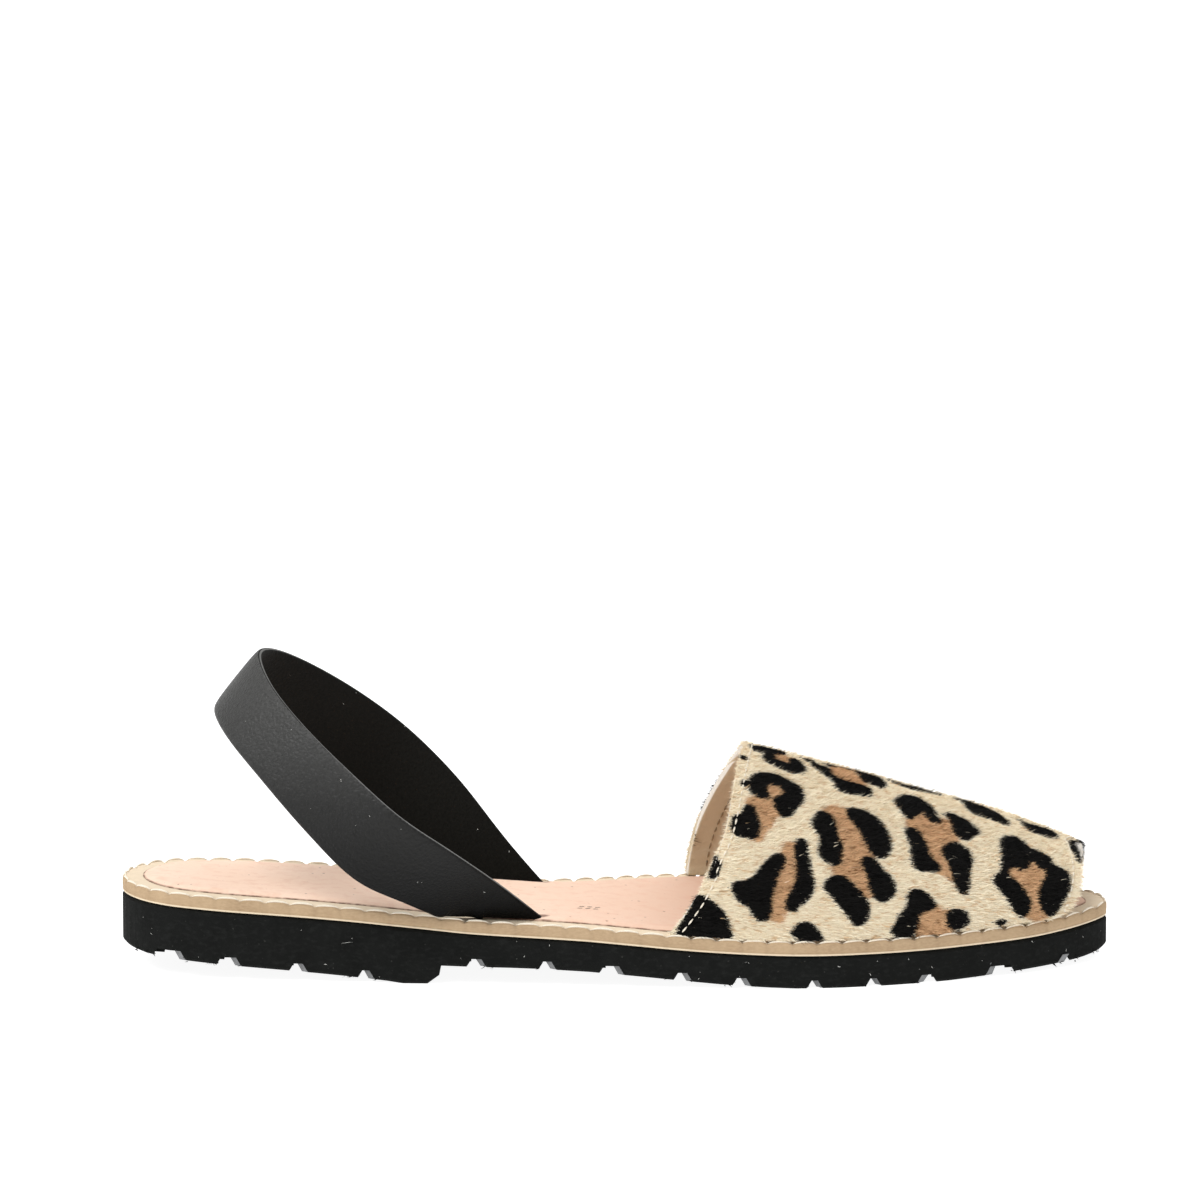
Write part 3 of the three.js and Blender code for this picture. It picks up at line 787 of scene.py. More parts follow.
def build_outsole():
    data = bare_copy("outsole")
    piece = add_object("rubber_sole", data, [rubber_look()], smooth=False)
    bevel = piece.modifiers.new("edges", "BEVEL")
    bevel.width = 0.3 * MM
    bevel.segments = 2
    bevel.limit_method = "ANGLE"
    bevel.angle_limit = math.radians(35)
    bevel.harden_normals = False
    data.shade_smooth()
    data.set_sharp_from_angle(angle=math.radians(50))
    return finish_piece(piece, "sole_rubber", "outsole")


def sole_edge(x, side):
    return np.interp(x, rim_rows[:, 0], rim_rows[:, 1 if side < 0 else 2])


def tread_height(tree, x, y):
    """Height of the rubber's underside a little way in from its edge."""
    inward = MM if y < HEEL_Y else -MM
    hits = [tree.ray_cast(Vector((x, y + k * inward, -5 * MM)), Vector((0, 0, 1)))[0]
            for k in TREAD_PROBES]
    return max([hit.z for hit in hits if hit is not None], default=4 * MM)


def notch_corners():
    """Places along the lower edges of the rubber where one of its lugs ends."""
    tree = node_tree("outsole")
    found = []
    for side in (-1, 1):
        for middle, width in NOTCHES:
            for end in (-1, 1):
                x = HEEL_X + (middle + end * (width / 2 + 1.0)) * MM
                y = sole_edge(x, side)
                found.append((x, y - side * 0.3 * MM, tread_height(tree, x, y)))
        for end, setback in TORN_ENDS:
            x = HEEL_X + setback * MM if end < 0 else rim_rows[-1, 0] - setback * MM
            y = sole_edge(x, side)
            found.append((x, y, tread_height(tree, x, y)))
    return np.array(found)


def build_whiskers():
    """Tufts of short torn threads of rubber at the corners of the lugs."""
    corners = notch_corners()
    tufts = corners[rng.integers(0, len(corners), TUFT_COUNT)]
    root = np.repeat(tufts, TUFT_HAIRS, axis=0)
    count = len(root)
    root = root + rng.normal(0, 1, (count, 3)) * TUFT_SPREAD
    root[:, 2] = np.maximum(root[:, 2] + TUFT_RISE, LOWEST_ROOT)
    out = np.sign(root[:, 1:2] - HEEL_Y) * np.array([[0, 1.0, 0]])
    heading = np.repeat(rng.choice([-1.0, 1.0], TUFT_COUNT), TUFT_HAIRS)[:, None]
    along = heading * rng.uniform(0.2, 1.3, (count, 1)) * np.array([[1.0, 0, 0]])
    down = rng.uniform(-1.0, 0.35, (count, 1)) * np.array([[0, 0, 1.0]])
    lie = unit(out * rng.uniform(0.0, 0.5, (count, 1)) + along + down)
    tip = root + lie * rng.uniform(*WHISKER_LENGTHS, (count, 1)) * MM
    tip[:, 2] = np.maximum(tip[:, 2], LOWEST_TIP)
    half = np.array([[0.35, 0, 0.5]]) * WHISKER_WIDTH * rng.uniform(0.6, 1.5, (count, 1))
    data = triangle_mesh("rubber_whiskers", root - half, root + half, tip)
    return add_piece("rubber_whiskers", data, [rubber_look()], "sole_rubber", smooth=False)


def build_groove_sides():
    """Slanted sides of the tread's grooves, as they show within the notches of the outer side."""
    tree = node_tree("outsole")
    points, faces = [], []
    for place, (middle, width) in enumerate(NOTCHES):
        end = 1 if place < GROOVES_FROM_BEHIND else -1
        foot = HEEL_X + (middle + end * (width / 2 + 0.1)) * MM
        head = HEEL_X + (middle + end * (width / 2 - 1.25)) * MM
        edge = sole_edge(foot, -1) + 0.5 * MM
        low = tread_height(tree, foot + end * 1.5 * MM, edge) + 0.15 * MM
        high = tread_height(tree, HEEL_X + middle * MM, edge) - 0.02 * MM
        slant = -end * GROOVE_SLANT
        faces += faces_from(len(points), ((0, 1, 2, 3), (1, 4, 2), (0, 3, 5), (2, 4, 5, 3)))
        points += [(head, edge, high), (foot, edge, low), (foot + slant, edge + GROOVE_SIDE, low),
                   (head + slant, edge + GROOVE_SIDE, high), (foot, edge + GROOVE_SIDE, low),
                   (head, edge + GROOVE_SIDE, high)]
    data = mesh_from("groove_sides", points, faces)
    return add_piece("groove_sides", data, [groove_side_painted_light_look()], "sole_rubber", smooth=False)


def build_lint(strap):
    """Pale specks of dust on the rubber wall and on the strap."""
    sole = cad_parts["outsole"].data
    spots = []
    for data, count in ((sole, LINT_ON_SOLE), (strap.data, LINT_ON_STRAP)):
        place, normal = surface_samples(data, None, count)
        upright = np.abs(normal[:, 2]) < STEEPEST_LINT
        spots.append((place[upright], normal[upright]))
    place = np.concatenate([spot[0] for spot in spots])
    normal = np.concatenate([spot[1] for spot in spots])
    count = len(place)
    first = unit(np.cross(normal, rng.normal(0, 1, (count, 3))))
    second = np.cross(normal, first)
    size = rng.uniform(*LINT_SIZES, (count, 1)) * MM
    stretch = rng.uniform(*LINT_STRETCH, (count, 1))
    scratch = rng.random(count) < SCRATCH_SHARE
    stretch[scratch] = rng.uniform(*SCRATCH_STRETCH, (scratch.sum(), 1))
    size[scratch] *= SCRATCH_WIDTH
    base = place + normal * 0.05 * MM
    data = triangle_mesh("lint", base - first * size * stretch, base + second * size,
                         base + first * size * stretch)
    look = plain_look("lint", (205, 205, 200), 0.9, 0.1)
    return add_piece("lint", data, [look], "sole_rubber", smooth=False)


def stitch_places():
    count = int(round(OUTLINE_LENGTH / STITCH_PITCH))
    return np.arange(count) * OUTLINE_LENGTH / count


def hole_share(run):
    """How near a place on the outline is to a hole between two stitches, from 0 to 1."""
    pitch = OUTLINE_LENGTH / len(stitch_places())
    offset = (run + pitch / 2) % pitch - pitch / 2
    return np.exp(-(offset / SCALLOP_WIDTH) ** 2)


def build_midsole():
    # inset, rise above the underside, and how far the stitch holes pull it down
    profile = np.array([
        (1.5, 0.00, 0.0), (0.30, 0.00, 0.0), (0.04, 0.12, 0.0), (0.00, 0.30, 0.0),
        (0.05, 0.50, 0.0), (0.16, 0.64, 0.0), (0.06, 0.85, 0.0), (0.00, 1.40, 0.0),
        (0.00, 2.40, 0.0), (0.03, 2.95, 0.3), (0.16, 3.30, 0.8), (0.45, 3.52, 1.0),
        (0.90, 3.60, 1.0), (1.50, 3.55, 0.9), (2.30, 3.50, 0.6), (3.40, 3.55, 0.2),
        (4.80, 3.60, 0.0), (8.00, 3.60, 0.0),
    ])
    hole = hole_share(outline_run)
    rings = []
    for inset, rise, pull in profile:
        ring = inset_ring(inset * MM)
        z = sole_top(ring[:, 0]) - MIDSOLE_THICKNESS + rise * MM - pull * SCALLOP_DEPTH * hole
        rings.append(np.column_stack([ring, z]))
    count = len(outline)
    faces = ring_faces(len(rings), count)
    faces += [face[::-1] for face in cap_faces(rings[0])]
    faces += faces_from((len(rings) - 1) * count, cap_faces(rings[-1]))
    data = mesh_from("midsole_leather", np.concatenate(rings), faces)
    near_thread = np.exp(-((profile[:, 0] - STITCH_INSET / MM) / HOLE_REACH) ** 2)
    set_attribute(data, "rise", np.repeat(profile[:, 1], count))
    set_attribute(data, "inset", np.repeat(profile[:, 0], count))
    set_attribute(data, "hole", np.outer(near_thread, hole**2).ravel())
    return add_piece("welted_midsole", data, [welt_look()], "midsole_leather", "midsole")


def build_welt_thread():
    pitch = OUTLINE_LENGTH / len(stitch_places())
    paths = []
    for start in stitch_places():
        share = np.linspace(0, 1, 9)
        run = (start + (pitch - STITCH_LENGTH) / 2 + share * STITCH_LENGTH) % OUTLINE_LENGTH
        lean = (share - 0.5) * 0.5 * MM
        px, py, nx, ny = (np.interp(run, outline_run, column, period=OUTLINE_LENGTH)
                          for column in (*outline.T, *outline_normals.T))
        wander = rng.normal(0, 0.06 * MM)
        x = px + nx * (STITCH_INSET + lean + wander)
        y = py + ny * (STITCH_INSET + lean + wander)
        arch = STITCH_ARCH * rng.uniform(0.7, 1.2)
        z = sole_top(x) - 0.35 * STITCH_RADIUS + arch * np.sin(np.pi * share) ** 0.7
        z -= 0.25 * MM * (1 - np.sin(np.pi * share) ** 0.5)
        paths.append(np.column_stack([x, y, z]))
    data = thread_mesh("welt_thread", paths, STITCH_RADIUS)
    return add_piece("welt_thread", data, [thread_look()], "thread")


def insole_height(x):
    return sole_top(x) + SEAT_GAP + INSOLE_THICKNESS - INSOLE_SINK


def strap_foot_lines():
    """The two feet of the strap as short plan lines, read off the solid just above its seat."""
    points = node_points("heel_strap")
    low = points[points[:, 2] < sole_top(points[:, 0]) + STRAP_FOOT_HEIGHT]
    lines = []
    for side in (-1, 1):
        foot = low[(low[:, 1] - sole_middle(low[:, 0])) * side > 0]
        back = foot[foot[:, 0].argmin(), :2]
        front = foot[foot[:, 0].argmax(), :2]
        lines.append((back, front))
    return lines


def distance_to_line(points, start, end):
    along = end - start
    share = np.clip(((points - start) @ along) / (along @ along), 0, 1)
    return np.linalg.norm(points - (start + share[:, None] * along), axis=1)


def build_insole():
    ring = inset_ring(INSOLE_MARGIN)
    first, last = ring[:, 0].argmin(), ring[:, 0].argmax()
    shifted = np.roll(ring, -first, 0)
    turn = (last - first) % len(ring)
    outer = shifted[:turn + 1]
    inner = np.concatenate([shifted[turn:], shifted[:1]])[::-1]
    share = (1 - np.cos(np.pi * np.linspace(0.004, 0.996, INSOLE_ROWS))) / 2
    xs = outer[0, 0] + (outer[-1, 0] - outer[0, 0]) * share
    low = np.interp(xs, np.maximum.accumulate(outer[:, 0]), outer[:, 1])
    high = np.interp(xs, np.maximum.accumulate(inner[:, 0]), inner[:, 1])
    across = (1 - np.cos(np.pi * np.linspace(0, 1, INSOLE_COLUMNS))) / 2
    gx = np.repeat(xs[:, None], INSOLE_COLUMNS, 1)
    gy = low[:, None] + (high - low)[:, None] * across[None, :]
    plan = np.column_stack([gx.ravel(), gy.ravel()])
    edge = nearest_distance([(x, y, 0) for x, y in plan], [(x, y, 0) for x, y in ring])
    fall = np.clip(1 - edge / INSOLE_ROUNDING, 0, 1) ** 2
    slit = np.minimum(*[distance_to_line(plan, a, b) for a, b in strap_foot_lines()])
    lift = LIP_HEIGHT * np.exp(-((slit - LIP_PLACE) / LIP_WIDTH) ** 2)
    z = insole_height(plan[:, 0]) - INSOLE_DROP * fall + lift
    top = np.column_stack([plan, z])
    under = np.column_stack([plan, sole_top(plan[:, 0]) + 0.02 * MM])
    count = len(plan)
    grid = np.arange(count).reshape(INSOLE_ROWS, INSOLE_COLUMNS)
    quads = np.stack([grid[:-1, :-1], grid[1:, :-1], grid[1:, 1:], grid[:-1, 1:]], axis=-1)
    faces = quads.reshape(-1, 4).tolist()
    border = [*grid[0], *grid[1:, -1], *grid[-1, -2::-1], *grid[-2:0:-1, 0]]
    points = np.concatenate([top, under[border]])
    for k, corner in enumerate(border):
        following = (k + 1) % len(border)
        faces.append((corner, border[following], count + following, count + k))
    data = mesh_from("insole_sheet", points, faces)
    set_attribute(data, "edge", np.concatenate([edge, np.zeros(len(border))]) / MM)
    set_attribute(data, "slit", np.concatenate([slit, slit[border]]) / MM)
    set_attribute(data, "along", (points[:, 0] - HEEL_X) / MM)
    return add_piece("insole_sheet", data, [insole_look()], "insole_leather", "insole")


def build_stamp():
    """Three pairs of short pressed dashes beside the vamp."""
    points, faces = [], []
    for row in range(2):
        for place in range(3):
            x = HEEL_X + (STAMP_X + 2.1 * place + 0.5 * row) * MM
            y = HEEL_Y + (STAMP_Y + 2.4 * row) * MM
            z = insole_height(x) + 0.03 * MM
            faces += faces_from(len(points), [(0, 1, 2, 3)])
            points += [(x + dx * MM, y + dy * MM, z) for dx, dy in STAMP_DASH]
    data = mesh_from("insole_stamp", points, faces)
    look = plain_look("stamp", (58, 46, 40), 0.8, 0.2)
    return add_piece("insole_stamp", data, [look], "insole_leather")


# Vamp chart: for a place along the sole and a turn over the foot, the girth from the outer foot

vamp_tree = node_tree("upper")
vamp_low, vamp_high = (np.array(corner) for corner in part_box("upper"))
CHART_XS = np.arange(vamp_low[0] - 1 * MM, vamp_high[0] + 1 * MM, 1 * MM)
CHART_TURNS = np.linspace(0.02, math.pi - 0.02, 141)
CHART_REACH = 90 * MM
CROWN = slice(40, 110)
RIM_TURNS = np.linspace(0.03, math.pi - 0.03, 160)
RIM_HALVINGS = 16
RIM_FACING = 0.6


def vamp_centre(x):
    return Vector((x, float(sole_middle(x)), float(sole_top(x)) + SEAT_GAP))


def outward_at(turn):
    return Vector((0, -math.cos(turn), math.sin(turn)))


def radial_hit(x, turn, facing=-1):
    """Distance from the middle of the foot to the vamp's outside, if it faces outward enough."""
    centre = vamp_centre(x)
    outward = outward_at(turn)
    hit, normal, _, distance = vamp_tree.ray_cast(centre + outward * CHART_REACH, -outward,
                                                  CHART_REACH - 4 * MM)
    if hit is None or normal.dot(outward) < facing:
        return math.nan
    return CHART_REACH - distance


def fill_column(values):
    known = np.flatnonzero(~np.isnan(values))
    if len(known) == 0:
        return values
    return np.interp(np.arange(len(values)), known, values[known])


def girth_table():
    radius = np.array([[radial_hit(x, turn) for turn in CHART_TURNS] for x in CHART_XS])
    radius = np.apply_along_axis(fill_column, 0, radius)
    step = CHART_TURNS[1] - CHART_TURNS[0]
    mid = (radius[:, 1:] + radius[:, :-1]) / 2
    piece = np.hypot(np.diff(radius, axis=1), mid * step)
    girth = np.concatenate([np.zeros((len(CHART_XS), 1)), np.cumsum(piece, axis=1)], axis=1)
    return girth


girths = girth_table()


def bilinear(table, u, v):
    u = np.clip(u, 0, table.shape[0] - 1.001)
    v = np.clip(v, 0, table.shape[1] - 1.001)
    i, j = u.astype(int), v.astype(int)
    a, b = u - i, v - j
    return (table[i, j] * (1 - a) * (1 - b) + table[i + 1, j] * a * (1 - b)
            + table[i, j + 1] * (1 - a) * b + table[i + 1, j + 1] * a * b)


def chart_of(points):
    """Millimetres along the sole and round the vamp, for points on its outside."""
    x, y, z = points.T
    turn = np.arctan2(z - sole_top(x) - SEAT_GAP, -(y - sole_middle(x)))
    turn = np.clip(turn, CHART_TURNS[0], CHART_TURNS[-1])
    u = (x - CHART_XS[0]) / (CHART_XS[1] - CHART_XS[0])
    v = (turn - CHART_TURNS[0]) / (CHART_TURNS[1] - CHART_TURNS[0])
    return np.column_stack([(x - HEEL_X) / MM, bilinear(girths, u, v) / MM])


def total_girth(x):
    return np.interp(x * MM + HEEL_X, CHART_XS, girths[:, -1]) / MM


# Print

camera_place, camera_forward, camera_right, camera_up, focal_length = camera_axes()


def project(px, py):
    """Chart place of a point of the picture; one above the ridge is carried over it."""
    for missed in np.arange(0, FARTHEST_MISS, MISS_STEP):
        down = FRAME_PIXELS / 2 - py - missed * PIXELS_PER_MM
        ray = (camera_forward * focal_length + camera_right * (px - FRAME_PIXELS / 2)
               + camera_up * down)
        hit = vamp_tree.ray_cast(camera_place, ray.normalized())[0]
        if hit is not None:
            chart = chart_of(np.array([hit]))[0]
            chart[1] += RIDGE_STRETCH * missed
            return chart
    return None


def ridge_girths():
    """The girth up to where the vamp turns out of the camera's sight, along the chart."""
    found = []
    for x in CHART_XS:
        best = 0.0
        for turn in CHART_TURNS[CROWN]:
            radius = radial_hit(x, turn)
            if math.isnan(radius):
                continue
            point = vamp_centre(x) + outward_at(turn) * (radius + 0.4 * MM)
            to_camera = camera_place - point
            if vamp_tree.ray_cast(point, to_camera.normalized(), 0.5)[0] is None:
                best = max(best, chart_of(np.array([point]))[0, 1])
        found.append(best)
    return np.array(found)


def drawn_shapes():
    """Black and brown outlines in chart millimetres, and those turned round for the inner side."""
    shapes = {"black": [], "brown": []}
    ridge = ridge_girths()
    sheets = [("black", REAR_SHEET, rear_black), ("brown", REAR_SHEET, rear_brown),
              ("black", FRONT_SHEET, front_black), ("brown", FRONT_SHEET, front_brown)]
    for tone, (left, top, scale), drawings in sheets:
        for drawing in drawings:
            found = [project(left + x / scale, top + y / scale) for x, y in drawing]
            places = np.array([place for place in found if place is not None])
            if len(places) < 4:
                continue
            shapes[tone].append(closed_curve(places, OUTLINE_CELL))
            turned = places.copy()
            turned[:, 0] = TURNED_SUM - places[:, 0]
            turned[:, 1] = total_girth(turned[:, 0]) - places[:, 1]
            seen = np.interp(turned[:, 0] * MM + HEEL_X, CHART_XS, ridge)
            if np.min(turned[:, 1] - seen) > RIDGE_CLEARANCE:
                shapes[tone].append(closed_curve(turned, OUTLINE_CELL))
    for tone, drawings in (("black", crown_black), ("brown", crown_brown)):
        shapes[tone] += [closed_curve(np.array(d, float), OUTLINE_CELL) for d in drawings]
    return shapes


def outline_distance(points, shape):
    """Signed distance to a closed outline, negative inside."""
    best = np.full(len(points), np.inf)
    inside = np.zeros(len(points), bool)
    for a, b in zip(shape, np.roll(shape, -1, 0)):
        best = np.minimum(best, distance_to_line(points, a, b))
        crosses = (a[1] > points[:, 1]) != (b[1] > points[:, 1])
        if a[1] != b[1]:
            at = a[0] + (points[:, 1] - a[1]) / (b[1] - a[1]) * (b[0] - a[0])
            inside ^= crosses & (points[:, 0] < at)
    return np.where(inside, -best, best)


def print_tables():
    us = np.arange(PRINT_LOW[0], PRINT_HIGH[0], PRINT_CELL)
    vs = np.arange(PRINT_LOW[1], PRINT_HIGH[1], PRINT_CELL)
    grid = np.stack(np.meshgrid(us, vs, indexing="ij"), axis=-1).reshape(-1, 2)
    tables = {}
    for tone, shapes in drawn_shapes().items():
        field = np.full(len(grid), OFF_PRINT)
        for shape in shapes:
            low, high = shape.min(0) - PRINT_REACH, shape.max(0) + PRINT_REACH
            near = np.all((grid > low) & (grid < high), axis=1)
            field[near] = np.minimum(field[near], outline_distance(grid[near], shape))
        tables[tone] = field.reshape(len(us), len(vs))
    return tables


prints = print_tables()


def print_distance(tone, points):
    """Signed distance in millimetres to the print's black or brown, negative inside."""
    u, v = ((chart_of(points) - PRINT_LOW) / PRINT_CELL).T
    return bilinear(prints[tone], u, v)


# Vamp

def clean_copy(name, piece_name, looks):
    """A copy of a solid as welded quads."""
    piece = add_object(piece_name, bare_copy(name), looks)
    bpy.ops.object.select_all(action="DESELECT")
    bpy.context.view_layer.objects.active = piece
    piece.select_set(True)
    bpy.ops.object.mode_set(mode="EDIT")
    bpy.ops.mesh.select_all(action="SELECT")
    bpy.ops.mesh.remove_doubles(threshold=WELD)
    bpy.ops.mesh.tris_convert_to_quads(face_threshold=QUAD_ANGLE, shape_threshold=QUAD_ANGLE)
    bpy.ops.object.mode_set(mode="OBJECT")
    piece.select_set(False)
    return piece


def crease_sharp(piece, angle, amount):
    """Keep the edges that bend by more than an angle in degrees from being rounded."""
    data = piece.data
    faces_of = {}
    for polygon in data.polygons:
        for key in polygon.edge_keys:
            faces_of.setdefault(key, []).append(polygon.normal.copy())
    creases = data.attributes.new("crease_edge", "FLOAT", "EDGE")
    for edge in data.edges:
        normals = faces_of.get(edge.key, [])
        if len(normals) == 2 and normals[0].angle(normals[1], 0) > math.radians(angle):
            creases.data[edge.index].value = amount


def bake_subdivision(piece):
    """Turn the piece's mesh into its smooth, subdivided one."""
    modifier = piece.modifiers.new("smooth", "SUBSURF")
    modifier.levels = modifier.render_levels = SMOOTH_LEVELS
    graph = bpy.context.evaluated_depsgraph_get()
    data = bpy.data.meshes.new_from_object(piece.evaluated_get(graph))
    piece.modifiers.clear()
    piece.data = data
    data.shade_smooth()


def wall_behind(tree, point, normal):
    """How far a solid reaches straight in behind a place on its surface."""
    hit, _, _, distance = tree.ray_cast(point - normal * 0.05 * MM, -normal, LONGEST_PROBE)
    return LONGEST_PROBE if hit is None else distance


def sort_vamp_faces(data):
    """Outside is 0, lining 1 and the cut rim 2."""
    for polygon in data.polygons:
        x, y, z = polygon.center
        centre = vamp_centre(x)
        outward = Vector((0, y - centre.y, z - centre.z)).normalized()
        facing = polygon.normal.dot(outward)
        thick = wall_behind(vamp_tree, polygon.center, polygon.normal)
        if thick > 1.5 * UPPER_WALL:
            polygon.material_index = 2
        else:
            polygon.material_index = 0 if facing > 0 else 1


def build_vamp():
    piece = clean_copy("upper", "vamp", [hide_look(), lining_look(), rim_look()])
    crease_sharp(piece, 50, 0.75)
    sort_vamp_faces(piece.data)
    bake_subdivision(piece)
    points = mesh_points(piece.data)
    for tone in ("black", "brown"):
        set_attribute(piece.data, tone, print_distance(tone, points))
    return finish_piece(piece, "vamp_hide", "upper")


def surface_samples(data, index, count):
    """Random places on the faces with one material, with their normals."""
    data.calc_loop_triangles()
    total = len(data.loop_triangles)
    corners = np.empty(total * 3, np.int32)
    data.loop_triangles.foreach_get("vertices", corners)
    corners = corners.reshape(-1, 3)
    if index is not None:
        owner = np.empty(total, np.int32)
        data.loop_triangles.foreach_get("material_index", owner)
        corners = corners[owner == index]
    points = mesh_points(data)
    flat = np.empty(len(data.vertices) * 3, np.float32)
    data.vertices.foreach_get("normal", flat)
    normals = flat.reshape(-1, 3)
    a, b, c = (points[corners[:, k]] for k in range(3))
    area = np.linalg.norm(np.cross(b - a, c - a), axis=1)
    pick = rng.choice(len(corners), count, p=area / area.sum())
    u, v = rng.random(count), rng.random(count)
    flip = u + v > 1
    u[flip], v[flip] = 1 - u[flip], 1 - v[flip]
    weights = [share[:, None] for share in (1 - u - v, u, v)]
    place = sum(weights[k] * points[corners[pick, k]] for k in range(3))
    normal = sum(weights[k] * normals[corners[pick, k]] for k in range(3))
    return place, unit(normal)


def triangle_mesh(name, *corners):
    """One loose triangle for each row of the three arrays of corners."""
    count = len(corners[0])
    data = bpy.data.meshes.new(name)
    data.vertices.add(3 * count)
    data.vertices.foreach_set("co", np.stack(corners, axis=1).reshape(-1).astype(np.float32))
    data.loops.add(3 * count)
    data.loops.foreach_set("vertex_index", np.arange(3 * count, dtype=np.int32))
    data.polygons.add(count)
    data.polygons.foreach_set("loop_start", np.arange(0, 3 * count, 3, dtype=np.int32))
    data.update(calc_edges=True)
    return data


def clump_tone(points):
    """A tone for each hair, mostly shared by those that lie in the same narrow lock."""
    chart = chart_of(points)
    row = np.floor(chart[:, 1] / CLUMP_WIDTH).astype(int)
    shift = rng.random(row.max() + 1)[row]
    column = np.floor(chart[:, 0] / CLUMP_LENGTH + shift * 7).astype(int)
    locks = rng.random((row.max() + 1, column.max() + 1))
    lock = locks[row, column]
    tone = 0.52 + 0.2 * lock + 0.3 * rng.random(len(points))
    # painted shade: a share of locks is much darker, for the gaps between locks of hair
    tone[lock < GAP_SHADE_LOCKS] -= 0.55
    return np.clip(tone, 0, 1)


def build_vamp_hair(vamp, stitches, throat):
    """The coat as loose triangles that lie towards the toe, each with one tone of the print."""
    place, normal = surface_samples(vamp.data, 0, HAIR_COUNT)
    free = nearest_distance(place, [p for path in stitches for p in path]) > STITCH_PARTING
    place, normal = place[free], normal[free]
    count = len(place)
    ahead = unit(np.array([1.0, 0.0, 0.0]) - normal * normal[:, :1])
    side = np.cross(normal, ahead)
    turn = rng.normal(-0.05, HAIR_SPREAD, count)[:, None]
    lie = ahead * np.cos(turn) + side * np.sin(turn)
    fringe = nearest_distance(place, throat) < FRINGE_REACH
    fringe &= rng.random(count) < FRINGE_SHARE
    lie[fringe] *= -1
    across = np.cross(normal, lie)
    length = HAIR_LENGTH * rng.uniform(0.5, 1.2, count)[:, None]
    length = np.minimum(length, np.maximum(vamp_high[0] - place[:, :1], 0.5 * MM) + 0.8 * MM)
    lift = rng.uniform(*HAIR_LIFT, count)[:, None]
    raised = rng.random(count) < RAISED_SHARE
    lift[raised] = rng.uniform(*RAISED_LIFT, raised.sum())[:, None]
    length[raised] *= RAISED_LENGTH
    length[fringe] *= FRINGE_LENGTH
    width = HAIR_WIDTH * rng.uniform(0.7, 1.3, count)[:, None]
    width[raised] *= RAISED_WIDTH
    twist = rng.normal(0, HAIR_TWIST, count)[:, None]
    half = (across * np.cos(twist) + normal * np.sin(twist)) * width / 2
    root = place + normal * (0.02 * MM + np.abs(np.sin(twist)) * width / 2)
    tip = root + lie * length + normal * length * lift
    data = triangle_mesh("vamp_hair", root - half, root + half, tip)
    tinted = root + lie * length * HAIR_TINT_SHARE
    stray = rng.random(count) < STRAY_SHARE
    for tone in ("black", "brown"):
        distance = np.where(stray, OFF_PRINT, print_distance(tone, tinted))
        set_attribute(data, tone, np.repeat(distance, 3))
    set_attribute(data, "tone", np.repeat(clump_tone(place), 3))
    return add_piece("vamp_hair", data, [hair_look()], "vamp_hide", smooth=False)


def rim_points(end):
    """Edge of the vamp's outside, from outer to inner foot; end is -1 for throat, 1 for toe."""
    rim = []
    for turn in RIM_TURNS:
        solid = (vamp_low[0] + vamp_high[0]) / 2 + 15 * MM
        empty = vamp_low[0] - 2 * MM if end < 0 else vamp_high[0] + 3 * MM
        for _ in range(RIM_HALVINGS):
            middle = (solid + empty) / 2
            if math.isnan(radial_hit(middle, turn, RIM_FACING)):
                empty = middle
            else:
                solid = middle
        radius = radial_hit(solid, turn)
        rim.append(vamp_centre(solid) + outward_at(turn) * radius)
    return rim


def row_beside(rim, end, inset):
    """A line on the vamp's outside that keeps a set way from one of its rims."""
    row = []
    for i, point in enumerate(rim):
        before, after = rim[max(i - 3, 0)], rim[min(i + 3, len(rim) - 1)]
        _, normal, _, _ = vamp_tree.find_nearest(point + Vector((-end * 1.5 * MM, 0, 0)))
        inward = (after - before).cross(normal).normalized()
        if inward.x * end > 0:
            inward.negate()
        row.append(np.array(vamp_tree.find_nearest(point + inward * inset)[0]))
    return np.array(row)


def stitches_along(row, depth):
    """Stitches on the outside, or at a depth below it."""
    run = np.concatenate([[0], np.cumsum(np.linalg.norm(np.diff(row, axis=0), axis=1))])
    paths = []
    for start in np.arange(1.0 * MM, run[-1] - TOPSTITCH_PITCH, TOPSTITCH_PITCH):
        share = np.linspace(0, 1, 5)
        s = start + share * TOPSTITCH_PITCH * TOPSTITCH_SHARE
        path = np.column_stack([np.interp(s, run, row[:, k]) for k in range(3)])
        lifted = []
        for p, t in zip(path, share):
            hit, normal, _, _ = vamp_tree.find_nearest(Vector(p))
            rise = TOPSTITCH_RISE * (0.5 + 0.5 * math.sin(math.pi * t))
            lifted.append(np.array(hit + normal * (rise if depth == 0 else -depth - rise)))
        paths.append(np.array(lifted))
    return paths


def vamp_stitches(throat, toe):
    """Stitches of the outside at both rims, and those of the lining at the throat."""
    outside = stitches_along(row_beside(throat, -1, TOPSTITCH_INSET), 0)
    outside += stitches_along(row_beside(toe, 1, TOPSTITCH_INSET), 0)
    seam = row_beside(throat, -1, LINING_SEAM_INSET)
    return outside, stitches_along(seam, UPPER_WALL - 0.1 * MM)


def build_stitches(name, paths, look, slot):
    return add_piece(name, thread_mesh(name, paths, TOPSTITCH_RADIUS, 5), [look], slot)


# Heel strap

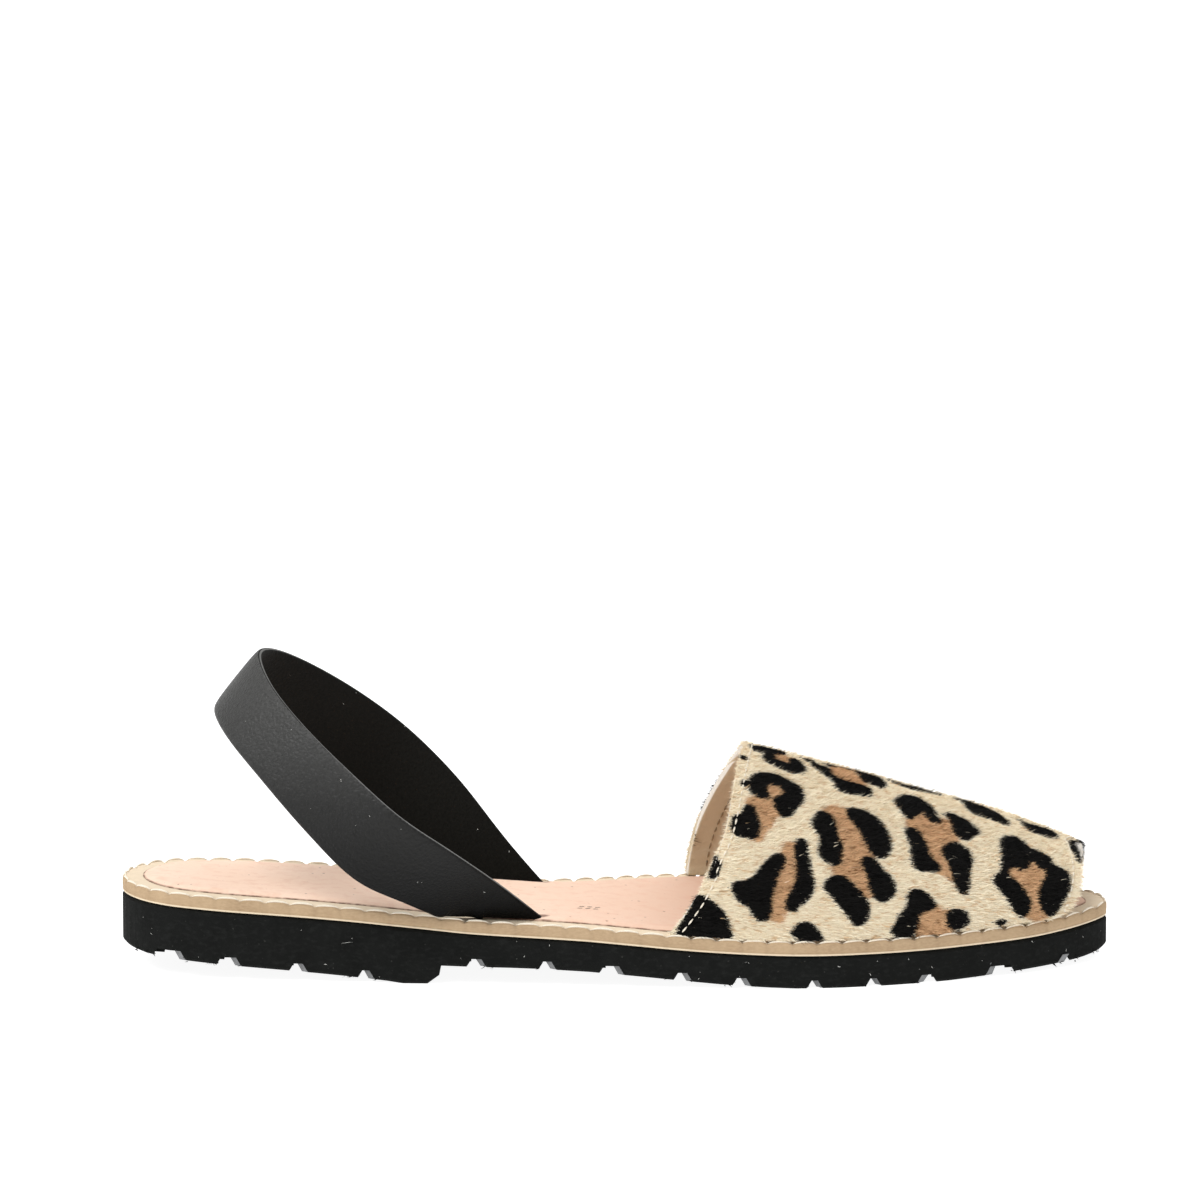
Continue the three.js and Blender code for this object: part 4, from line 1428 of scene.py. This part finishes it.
def build_strap():
    piece = clean_copy("heel_strap", "sling_strap", [strap_look()])
    crease_sharp(piece, 65, 0.8)
    bake_subdivision(piece)
    data = piece.data
    points = mesh_points(data)
    centre = Vector((points[:, 0].max() - 20 * MM, HEEL_Y, 0))
    inner = np.zeros(len(points))
    for vertex in data.vertices:
        to_axis = Vector((centre.x - vertex.co.x, centre.y - vertex.co.y, 0)).normalized()
        inner[vertex.index] = 1.0 if vertex.normal.dot(to_axis) > 0.0 else 0.0
    set_attribute(data, "inner", inner)
    set_attribute(data, "height", points[:, 2] / MM)
    tree = node_tree("heel_strap")
    through = [wall_behind(tree, v.co, v.normal) for v in data.vertices]
    set_attribute(data, "through", np.array(through) / MM)
    return finish_piece(piece, "strap_leather", "heel_strap")


# Studio

def add_floor():
    corners = ((-1, -1), (1, -1), (1, 1), (-1, 1))
    points = [(x * FLOOR_HALF, y * FLOOR_HALF, -FLOOR_GAP) for x, y in corners]
    look = Look("floor", 0.9, 0.0)
    look.colour((0.42, 0.42, 0.42, 1))
    look.shader.inputs["Emission Color"].default_value = (1, 1, 1, 1)
    look.shader.inputs["Emission Strength"].default_value = 0.92
    piece = add_object("floor", mesh_from("floor", points, [(0, 1, 2, 3)]), [look.material])


def add_sun(name, place, spread, strength):
    """A soft light from far away, spread over an angle in degrees."""
    data = bpy.data.lights.new(name, "SUN")
    data.angle = math.radians(spread)
    data.energy = strength
    lamp = bpy.data.objects.new(name, data)
    lamp.location = place
    lamp.rotation_euler = (-Vector(place)).to_track_quat("-Z", "Y").to_euler()
    bpy.context.scene.collection.objects.link(lamp)


def add_lights():
    world = bpy.data.worlds.new("studio")
    world.use_nodes = True
    world.node_tree.nodes["Background"].inputs["Color"].default_value = (1, 1, 1, 1)
    world.node_tree.nodes["Background"].inputs["Strength"].default_value = 0.55
    bpy.context.scene.world = world
    add_sun("key", (-0.55, -0.45, 1.0), 40, 1.9)
    add_sun("back", (0.3, 0.7, 0.9), 40, 0.8)
    bpy.context.scene.view_settings.view_transform = "Standard"


def add_camera():
    data = bpy.data.cameras.new("camera")
    data.sensor_width = SENSOR
    data.lens = focal_length * SENSOR / FRAME_PIXELS
    data.clip_end = 50
    camera = bpy.data.objects.new("camera", data)
    camera.location = camera_place
    camera.rotation_euler = camera_forward.to_track_quat("-Z", "Y").to_euler()
    bpy.context.scene.collection.objects.link(camera)
    bpy.context.scene.camera = camera


add_floor()
add_lights()
add_camera()
build_outsole()
build_groove_sides()
build_midsole()
build_welt_thread()
build_insole()
build_stamp()
vamp_piece = build_vamp()
throat_rim, toe_rim = rim_points(-1), rim_points(1)
topstitches, lining_stitches = vamp_stitches(throat_rim, toe_rim)
build_vamp_hair(vamp_piece, topstitches, throat_rim)
build_stitches("vamp_topstitch", topstitches, thread_look(), "thread")
seam_look = plain_look("lining seam", (150, 130, 104), 0.8, 0.1)
build_stitches("lining_seam", lining_stitches, seam_look, "vamp_lining")
strap_piece = build_strap()
build_whiskers()
build_lint(strap_piece)
